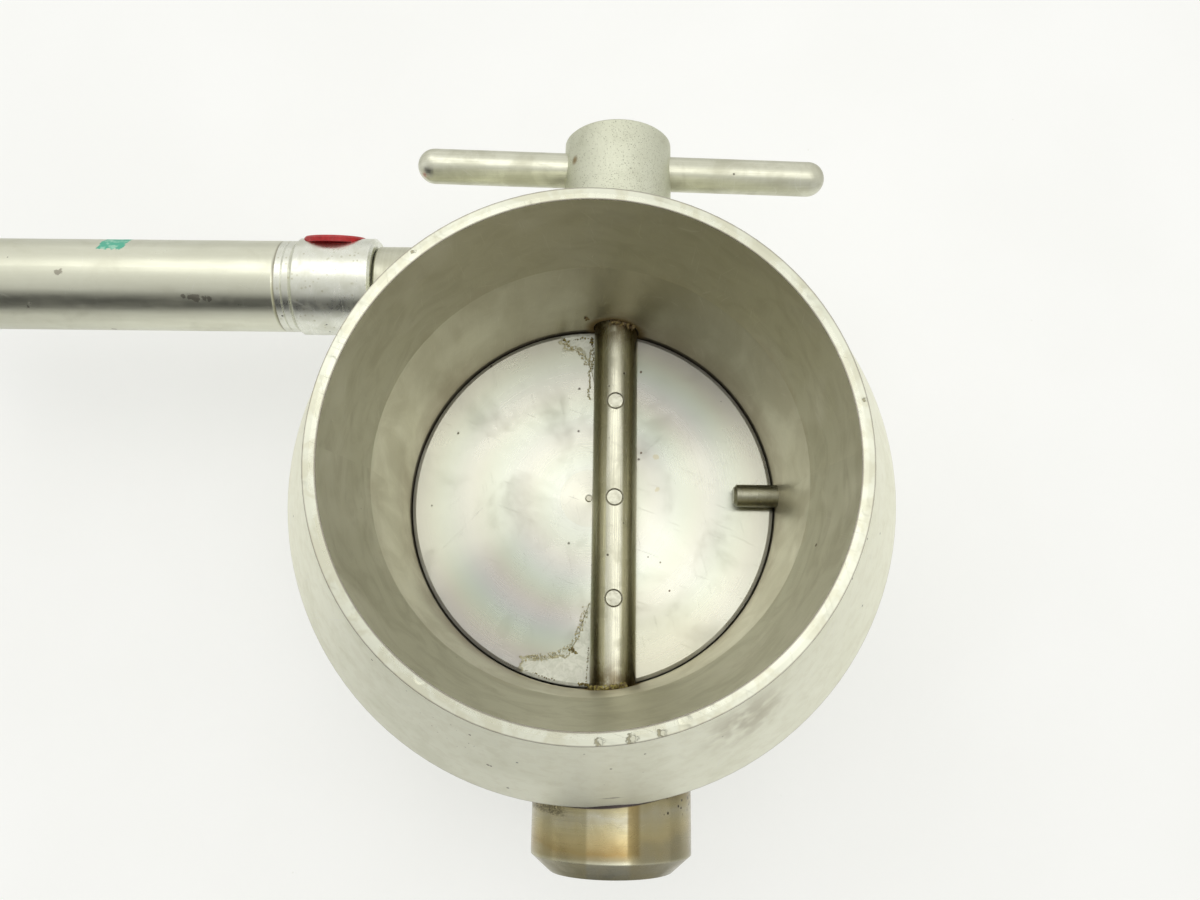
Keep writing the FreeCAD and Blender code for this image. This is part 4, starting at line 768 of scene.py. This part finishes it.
tube.close(colour, rough, height, metallic=not_paint, edge=0.2, polish=0.1)

# %% Heads and plug
head = Finish("head_aluminium", "X", (0.0, CYLINDER_Y, CYLINDER_Z))
colour, rough, height = worked_metal(
    head, (0.88, 0.895, 0.815), (0.56, 0.56, 0.44), 0.24, fineness=1.6, depth=0.0006,
    stains=0.45, stain_size=5.0, scratched=0.4, pitted=0.05, contrast=0.12)
grime = head.use("pits", "Mask", Spacing=1.3, Amount=0.35, Size=0.35)
grime = head.do("MULTIPLY", grime, head.use("blotches", "Mask", Size=7.0, Amount=0.55))
colour = head.mix(head.do("MULTIPLY", grime, 0.45), colour, tone(0.40, 0.38, 0.22))
head.close(colour, rough, height, edge=0.3, polish=0.2)

red = Finish("red_plastic")
scuff = red.use("scratches", "Mask", Amount=0.7, Length=4.0)
cloud = noise(red.tree, red.place, 0.8, 4.0)
colour = red.mix(red.ease(cloud, 0.3, 0.7), tone(0.50, 0.010, 0.014), tone(0.38, 0.007, 0.010))
colour = red.mix(red.do("MULTIPLY", scuff, 0.12), colour, tone(0.80, 0.30, 0.28))
rough = red.ease(cloud, 0.2, 0.8, 0.38, 0.50)
height = red.do("MULTIPLY", cloud, 0.02)
red.close(colour, rough, height, metallic=0.0, edge=0.4, polish=0.1)

# %% [markdown]
# ## The other metals and seals
# Cover, neck, plugs, screws, gears, bushings and seals show only from the back or not at all,
# but each still gets the finish of its kind. A table keeps them short: axis and centre of
# turning, clean colour, dirt colour, roughness, and how fine the marks are.

# %% Remaining metals
SHAFT_LINE = (SHAFT_X, 0.0, SHAFT_Z)
CYLINDER_LINE = (0.0, CYLINDER_Y, CYLINDER_Z)
OTHER_METALS = {
    "cover_stainless": ("Y", SHAFT_LINE, (0.70, 0.69, 0.63), (0.40, 0.39, 0.32), 0.34, 1.4),
    "neck_stainless": ("X", CYLINDER_LINE, (0.68, 0.68, 0.55), (0.44, 0.43, 0.32), 0.36, 1.6),
    "plug_steel": ("X", CYLINDER_LINE, (0.58, 0.57, 0.52), (0.34, 0.33, 0.28), 0.36, 1.8),
    "boss_plug_steel": ("Y", SHAFT_LINE, (0.58, 0.57, 0.52), (0.30, 0.28, 0.22), 0.38, 1.8),
    "screw_steel": ("Y", SHAFT_LINE, (0.50, 0.50, 0.48), (0.26, 0.25, 0.22), 0.36, 2.4),
    "spring_steel": ("X", CYLINDER_LINE, (0.42, 0.42, 0.42), (0.24, 0.22, 0.18), 0.34, 2.0),
    "gear_steel": ("Y", SHAFT_LINE, (0.52, 0.52, 0.50), (0.26, 0.22, 0.14), 0.30, 2.0),
    "rack_steel": ("X", CYLINDER_LINE, (0.52, 0.52, 0.50), (0.26, 0.22, 0.14), 0.30, 2.0),
    "rod_steel": ("X", CYLINDER_LINE, (0.74, 0.74, 0.70), (0.48, 0.47, 0.42), 0.16, 3.0),
    "bronze": ("Y", SHAFT_LINE, (0.66, 0.46, 0.24), (0.32, 0.20, 0.10), 0.38, 2.0),
    "rod_bronze": ("X", CYLINDER_LINE, (0.66, 0.46, 0.24), (0.32, 0.20, 0.10), 0.38, 2.0),
}
finishes = {}
for name, (axis, centre, clean, dirt, roughness, fineness) in OTHER_METALS.items():
    item = Finish(name, axis, centre)
    colour, rough, height = worked_metal(item, clean, dirt, roughness, fineness=fineness,
                                         depth=0.0015, stain_size=8.0, pitted=0.06)
    item.close(colour, rough, height)
    finishes[name] = item.material

# %% Rubber and gasket
SOFT_FINISHES = {
    "black_rubber": ((0.030, 0.030, 0.032), (0.060, 0.058, 0.055), 0.55),
    "gasket_fibre": ((0.12, 0.14, 0.12), (0.06, 0.07, 0.06), 0.80),
}
for name, (colour, dust, roughness) in SOFT_FINISHES.items():
    item = Finish(name)
    cloud = item.use("blotches", "Mask", Size=4.0, Amount=0.5)
    fibre = noise(item.tree, item.place, 2.5, 5.0, 0.7)
    shaded = item.mix(cloud, tone(*colour), tone(*dust))
    item.close(shaded, item.ease(fibre, 0.2, 0.8, roughness - 0.1, roughness + 0.1),
               item.do("MULTIPLY", fibre, 0.03), metallic=0.0, polish=0.03)
    finishes[name] = item.material

SEALANTS = {
    "brown_sealant": ((0.42, 0.36, 0.10), (0.13, 0.09, 0.03)),
    "pale_sealant": ((0.82, 0.80, 0.60), (0.60, 0.53, 0.28)),
    "dark_sealant": ((0.28, 0.21, 0.08), (0.09, 0.055, 0.02)),
}
for name, (light, dark) in SEALANTS.items():
    item = Finish(name)
    cloud = noise(item.tree, item.place, 1.1, 4.0, 0.6)
    grain = noise(item.tree, item.place, 5.0, 3.0)
    shaded = item.mix(item.ease(cloud, 0.38, 0.62), tone(*dark), tone(*light))
    item.close(shaded, item.ease(grain, 0.3, 0.7, 0.35, 0.6), item.do("MULTIPLY", grain, 0.04),
               metallic=0.0, polish=0.02)
    finishes[name] = item.material

for item in (body, disc, shaft, pin, stop, hub, bar, boss, tube, head, red):
    finishes[item.material.name] = item.material
print("finishes:", len(finishes))

# %% [markdown]
# ## Giving each piece its finish
# The CAD pieces keep their meshes. Each gets exactly one material slot, chosen here by name.

# %% Assign the finishes
WEAR = {
    "body_stainless": ["valve_body"],
    "disc_steel": ["disc"],
    "shaft_steel": ["shaft"],
    "pin_steel": ["disc_pins"],
    "stop_steel": ["stop_pin"],
    "hub_steel": ["handle_hub"],
    "bar_steel": ["handle_bar"],
    "welded_stainless": ["lower_bearing_housing"],
    "tube_stainless": ["cylinder_tube"],
    "head_aluminium": ["front_head", "rear_head", "piston"],
    "red_plastic": ["front_port_plug"],
    "cover_stainless": ["bearing_cover"],
    "neck_stainless": ["rack_neck"],
    "plug_steel": ["rack_end_plug", "travel_stop"],
    "boss_plug_steel": ["boss_end_plug"],
    "screw_steel": ["cover_screws", "hub_set_screw", "piston_nut"],
    "spring_steel": ["return_spring", "retaining_clip"],
    "gear_steel": ["pinion", "pinion_key"],
    "rack_steel": ["rack"],
    "rod_steel": ["piston_rod"],
    "bronze": ["upper_bushing", "lower_bushing", "cover_bushing", "thrust_washer"],
    "rod_bronze": ["rod_bushing"],
    "black_rubber": ["upper_shaft_seal", "lower_shaft_seal", "rod_seal", "piston_seal"],
    "gasket_fibre": ["cover_gasket"],
}
dressed = []
for finish_name, names in WEAR.items():
    for name in names:
        mesh = nodes[name].data
        mesh.materials.clear()
        mesh.materials.append(finishes[finish_name])
        dressed.append(name)
print("dressed", len(dressed), "left bare", sorted(set(nodes) - set(dressed)))

# %% [markdown]
# ## Dried sealant, as pieces of their own
# Some of the sealant stands proud: crusts round the shaft where it enters the wall, crumbs along
# the film's shore, and a thin wavy thread beside the shaft. One Geometry Nodes group lays all of
# it out. It walks along a path, drops a crumb at every step, turns and scales each by chance,
# and roughens the whole. The crusts stick to the wall and ride on the housing. The other
# pieces lie on the disc and turn with it.

# %% The crumb builder
crumbs = bpy.data.node_groups.new("crumbs_along_path", "GeometryNodeTree")
CRUMB_INPUTS = (
    ("Geometry", "NodeSocketGeometry"), ("Step", "NodeSocketFloat"), ("Size", "NodeSocketFloat"),
    ("Stray", "NodeSocketFloat"), ("Seed", "NodeSocketInt"), ("Finish", "NodeSocketMaterial"))
sockets = {}
for label, kind in CRUMB_INPUTS:
    sockets[label] = crumbs.interface.new_socket(label, in_out="INPUT", socket_type=kind)
crumbs.interface.new_socket("Geometry", in_out="OUTPUT", socket_type="NodeSocketGeometry")
start = crumbs.nodes.new("NodeGroupInput").outputs
walk = add(crumbs, "GeometryNodeMeshToCurve", {"Mesh": start["Geometry"]}).outputs[0]
steps = add(crumbs, "GeometryNodeCurveToPoints", {"Curve": walk, "Length": start["Step"]},
            mode="LENGTH").outputs["Points"]


def by_chance(low, high, seed_shift):
    """A random vector for each crumb."""
    seed = add(crumbs, "ShaderNodeMath", {0: start["Seed"], 1: seed_shift}).outputs[0]
    item = add(crumbs, "FunctionNodeRandomValue", {"Seed": seed}, data_type="FLOAT_VECTOR")
    item.inputs[0].default_value = (low, low, low)
    item.inputs[1].default_value = (high, high, high)
    return item.outputs[0]


def scaled(vector, amount):
    """A vector times a value."""
    item = add(crumbs, "ShaderNodeVectorMath", {0: vector, "Scale": amount}, operation="SCALE")
    return item.outputs[0]


stray = scaled(by_chance(-1.0, 1.0, 1), start["Stray"])
strewn = add(crumbs, "GeometryNodeSetPosition", {"Geometry": steps, "Offset": stray}).outputs[0]
ball = add(crumbs, "GeometryNodeMeshIcoSphere", {"Radius": 1.0, "Subdivisions": 2}).outputs[0]
laid = add(crumbs, "GeometryNodeInstanceOnPoints", {
    "Points": strewn, "Instance": ball, "Rotation": by_chance(0.0, 6.3, 2),
    "Scale": scaled(by_chance(0.35, 1.1, 3), start["Size"])}).outputs[0]
solid = add(crumbs, "GeometryNodeRealizeInstances", {"Geometry": laid}).outputs[0]
bumpy = add(crumbs, "ShaderNodeTexNoise", {"Scale": 2200.0, "Detail": 2.0}).outputs["Color"]
bumpy = add(crumbs, "ShaderNodeVectorMath", {0: bumpy, 1: (0.5, 0.5, 0.5)},
            operation="SUBTRACT").outputs[0]
solid = add(crumbs, "GeometryNodeSetPosition", {
    "Geometry": solid, "Offset": scaled(bumpy, start["Size"])}).outputs[0]
solid = add(crumbs, "GeometryNodeSetMaterial", {
    "Geometry": solid, "Material": start["Finish"]}).outputs[0]
crumbs.links.new(solid, crumbs.nodes.new("NodeGroupOutput").inputs[0])
print("group", crumbs.name)

# %% Paths of the crumbs, in millimetres
WALL_RADIUS = 52.35
SHAFT_RADIUS = 6.35
CRUMB_TOP = DISC_TOP + 0.02


def round_the_shaft(side, inset, first, last):
    """An arc on the shaft, between two angles from +X, that follows the curved wall."""
    arc = []
    for step in range(17):
        angle = math.radians(first + (last - first) * step / 16)
        x = SHAFT_X + (SHAFT_RADIUS + 0.1) * math.cos(angle)
        z = SHAFT_Z + (SHAFT_RADIUS + 0.1) * math.sin(angle)
        arc.append((x, side * (math.sqrt(WALL_RADIUS ** 2 - x * x) - inset), z))
    return arc


def flat_path(*corners):
    """Corners on the disc's top."""
    return [(x, y, CRUMB_TOP) for x, y in corners]


# Each row gives the name, the finish, the path, the step between crumbs, their size, how far
# they stray, and the seed of the chances.
PATHS = (
    ("crust_lower", "brown_sealant", round_the_shaft(-1, 0.2, 165, 62), 0.14, 0.68, 0.60, 1),
    ("crust_lower_outer", "pale_sealant", round_the_shaft(-1, 0.7, 125, 80), 0.50, 0.32, 0.40, 2),
    ("corner_lower", "brown_sealant", flat_path(
        (-2.8, -50.8), (-1.6, -50.9), (-0.4, -51.0)), 0.14, 0.42, 0.26, 13),
    ("crust_upper", "dark_sealant", round_the_shaft(1, 0.3, 104, 42), 0.16, 0.60, 0.60, 3),
    ("shore_lower", "pale_sealant", flat_path(
        (-18.2, -44.3), (-14.0, -43.7), (-10.5, -43.2), (-7.2, -42.2), (-4.4, -39.0),
        (-2.4, -35.0), (-1.2, -29.5)), 0.11, 0.26, 0.85, 4),
    ("lump_lower", "brown_sealant", flat_path(
        (-5.9, -41.6), (-5.0, -41.2), (-4.6, -42.4), (-3.9, -42.6)), 0.20, 0.42, 0.35, 5),
    ("rim_crumbs_lower", "brown_sealant", flat_path(
        (-17.6, -47.4), (-15.0, -48.3), (-12.2, -49.2), (-10.0, -49.8)), 0.60, 0.28, 0.25, 6),
    ("foot_line_lower", "brown_sealant", flat_path(
        (-1.0, -50.2), (-0.7, -46.0), (-0.5, -41.0)), 0.30, 0.22, 0.15, 7),
    ("thread_upper", "pale_sealant", flat_path(
        (-0.9, 46.4), (-1.5, 43.6), (-0.9, 41.2), (-1.7, 38.4), (-1.2, 35.6), (-1.8, 33.0),
        (-1.3, 31.0)), 0.14, 0.27, 0.28, 8),
    ("shore_upper", "pale_sealant", flat_path(
        (-8.6, 48.2), (-6.6, 46.8), (-4.6, 45.4), (-3.0, 43.4), (-2.2, 41.2)),
     0.15, 0.32, 0.65, 14),
    ("crust_wall_lump", "dark_sealant", (
        (-2.7, 52.5, 80.1), (-2.2, 52.5, 79.5), (-1.9, 52.5, 78.6)), 0.18, 0.52, 0.38, 15),
    ("rim_crumbs_upper", "brown_sealant", flat_path(
        (-9.0, 48.6), (-6.0, 49.4), (-3.0, 49.9), (-1.2, 50.0)), 0.45, 0.35, 0.35, 9),
    ("foot_line_upper", "brown_sealant", flat_path(
        (-0.7, 49.8), (-0.4, 45.0), (-0.6, 40.0)), 0.30, 0.24, 0.18, 10),
    ("lump_upper", "brown_sealant", flat_path(
        (-9.6, 49.5), (-9.0, 49.2), (-8.3, 48.6)), 0.18, 0.50, 0.40, 11),
    ("lump_upper_near", "brown_sealant", flat_path(
        (-1.5, 49.2), (-1.1, 48.6), (-0.9, 48.0)), 0.18, 0.44, 0.32, 12),
)

# %% Build the crumbs
for name, finish_name, corners, step, size, stray, seed in PATHS:
    body_name = "housing" if name.startswith("crust") else "rotor"
    line = bpy.data.meshes.new(name + "_path")
    places = [tuple(value / 1000 for value in corner) for corner in corners]
    line.from_pydata(places, [(index, index + 1) for index in range(len(places) - 1)], [])
    piece = bpy.data.objects.new("sealant_" + name, line)
    bpy.context.scene.collection.objects.link(piece)
    modifier = piece.modifiers.new("crumbs", "NODES")
    modifier.node_group = crumbs
    values = {"Step": step / 1000, "Size": size / 1000, "Stray": stray / 1000, "Seed": seed,
              "Finish": finishes[finish_name]}
    for label, value in values.items():
        modifier[sockets[label].identifier] = value
    bpy.context.view_layer.update()
    built = piece.evaluated_get(bpy.context.evaluated_depsgraph_get())
    mesh = bpy.data.meshes.new_from_object(built)
    piece.modifiers.remove(modifier)
    piece.data = mesh
    mesh.materials.clear()
    mesh.materials.append(finishes[finish_name])
    for face in mesh.polygons:
        face.use_smooth = True
    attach(piece, body_name)
    print(piece.name, "faces", len(mesh.polygons))

# %% [markdown]
# ## Table, sky and lamp
# The valve stands on a white table with a few faint scuffs. Metal shows what surrounds it, so
# the sky is as important as the lamp: bright overhead, a little softer at the sides, and with
# one darker patch low on the near side, where the room is darker. Its reflection is the dark
# band along the tube. For camera and mirror rays the table near the valve is lifted towards
# white, but not the part that the valve itself shades. The camera sees a plain white backdrop.

# %% Table
# The glow starts past the rim that the valve stands on, and mirror rays see less of it far out.
bpy.ops.mesh.primitive_plane_add(size=4.0)
table = bpy.context.object
table.name = "table"
floor = Finish("white_table")
scuff = floor.use("scratches", "Mask", Amount=0.42, Length=30.0)
dust = floor.use("pits", "Mask", Spacing=9.0, Amount=0.10, Size=0.05)
shade = noise(floor.tree, floor.place, 0.012, 4.0)
colour = floor.mix(floor.ease(shade, 0.3, 0.7), tone(0.55, 0.55, 0.545), tone(0.53, 0.53, 0.52))
colour = floor.mix(floor.do("MULTIPLY", scuff, 0.05), colour, tone(0.4, 0.4, 0.37))
colour = floor.mix(floor.do("MULTIPLY", dust, 0.3), colour, tone(0.30, 0.28, 0.24))
tree = floor.tree
paper = add(tree, "ShaderNodeBsdfDiffuse", {"Color": colour})
in_shade = floor.ease(floor.radius, 62.0, 66.0)
glow = add(tree, "ShaderNodeEmission", {
    "Color": tone(0.99, 1.0, 0.97), "Strength": floor.do("MULTIPLY", in_shade, 0.46)})
rays = add(tree, "ShaderNodeLightPath").outputs
near = floor.ease(floor.radius, 140.0, 260.0, 1.0, 0.45)
mirrored = maths(tree, "MULTIPLY", near, maths(
    tree, "ADD", rays["Is Glossy Ray"], rays["Is Transmission Ray"]))
seen = maths(tree, "MINIMUM", maths(tree, "ADD", rays["Is Camera Ray"], mirrored), 1.0)
none = add(tree, "ShaderNodeEmission", {"Strength": 0.0})
lift = add(tree, "ShaderNodeMixShader", {0: seen, 1: none.outputs[0], 2: glow.outputs[0]})
total = add(tree, "ShaderNodeAddShader", {0: paper.outputs[0], 1: lift.outputs[0]})
output = tree.nodes.new("ShaderNodeOutputMaterial")
tree.links.new(total.outputs[0], output.inputs["Surface"])
table.data.materials.append(floor.material)
print("table is", table.dimensions.x, "m wide")

# %% Sky
DARK_WAY = Vector((-0.38, -0.84, 0.38)).normalized()
world = bpy.data.worlds.new("studio")
bpy.context.scene.world = world
world.use_nodes = True
tree = world.node_tree
tree.nodes.clear()
way = add(tree, "ShaderNodeTexCoord").outputs["Generated"]
x, y, z = parts_of(tree, way)
overhead = ease(tree, z, 0.0, 0.9, 0.92, 0.86)
squeezed = add(tree, "ShaderNodeVectorMath", {0: way, 1: (0.35, 1.0, 1.0)},
               operation="MULTIPLY").outputs[0]
squeezed = add(tree, "ShaderNodeVectorMath", {0: squeezed}, operation="NORMALIZE").outputs[0]
toward = add(tree, "ShaderNodeVectorMath", {0: squeezed, 1: DARK_WAY}, operation="DOT_PRODUCT")
dark = ease(tree, toward.outputs["Value"], math.cos(math.radians(30)),
            math.cos(math.radians(20)), 0.0, 0.92)
near_side = ease(tree, y, -0.7, 0.2, 0.72, 1.0)
level = maths(tree, "MULTIPLY", maths(tree, "MULTIPLY", overhead, near_side),
              maths(tree, "SUBTRACT", 1.0, dark))
seen = add(tree, "ShaderNodeLightPath").outputs["Is Camera Ray"]
level = maths(tree, "MAXIMUM", level, maths(tree, "MULTIPLY", seen, 0.96))
sky = add(tree, "ShaderNodeBackground", {"Color": tone(1.0, 0.995, 0.97), "Strength": level})
output = tree.nodes.new("ShaderNodeOutputWorld")
tree.links.new(sky.outputs[0], output.inputs["Surface"])
print("sky", world.name)

# %% Lamp
lamp_data = bpy.data.lights.new("overhead_softbox", "AREA")
lamp_data.shape = "RECTANGLE"
lamp_data.size = 1.9
lamp_data.size_y = 0.6
lamp_data.energy = 3.5
lamp_data.color = (1.0, 0.99, 0.96)
lamp = bpy.data.objects.new("overhead_softbox", lamp_data)
lamp.location = (-0.1, 0.35, 1.15)
lamp.rotation_euler = (math.radians(-16), 0.0, math.radians(-35))
bpy.context.scene.collection.objects.link(lamp)
print("lamp", lamp_data.energy, "W")

# %% [markdown]
# ## Finish
# The picture's colours are shown with the Standard view transform.

# %% Finish
bpy.context.scene.view_settings.view_transform = "Standard"
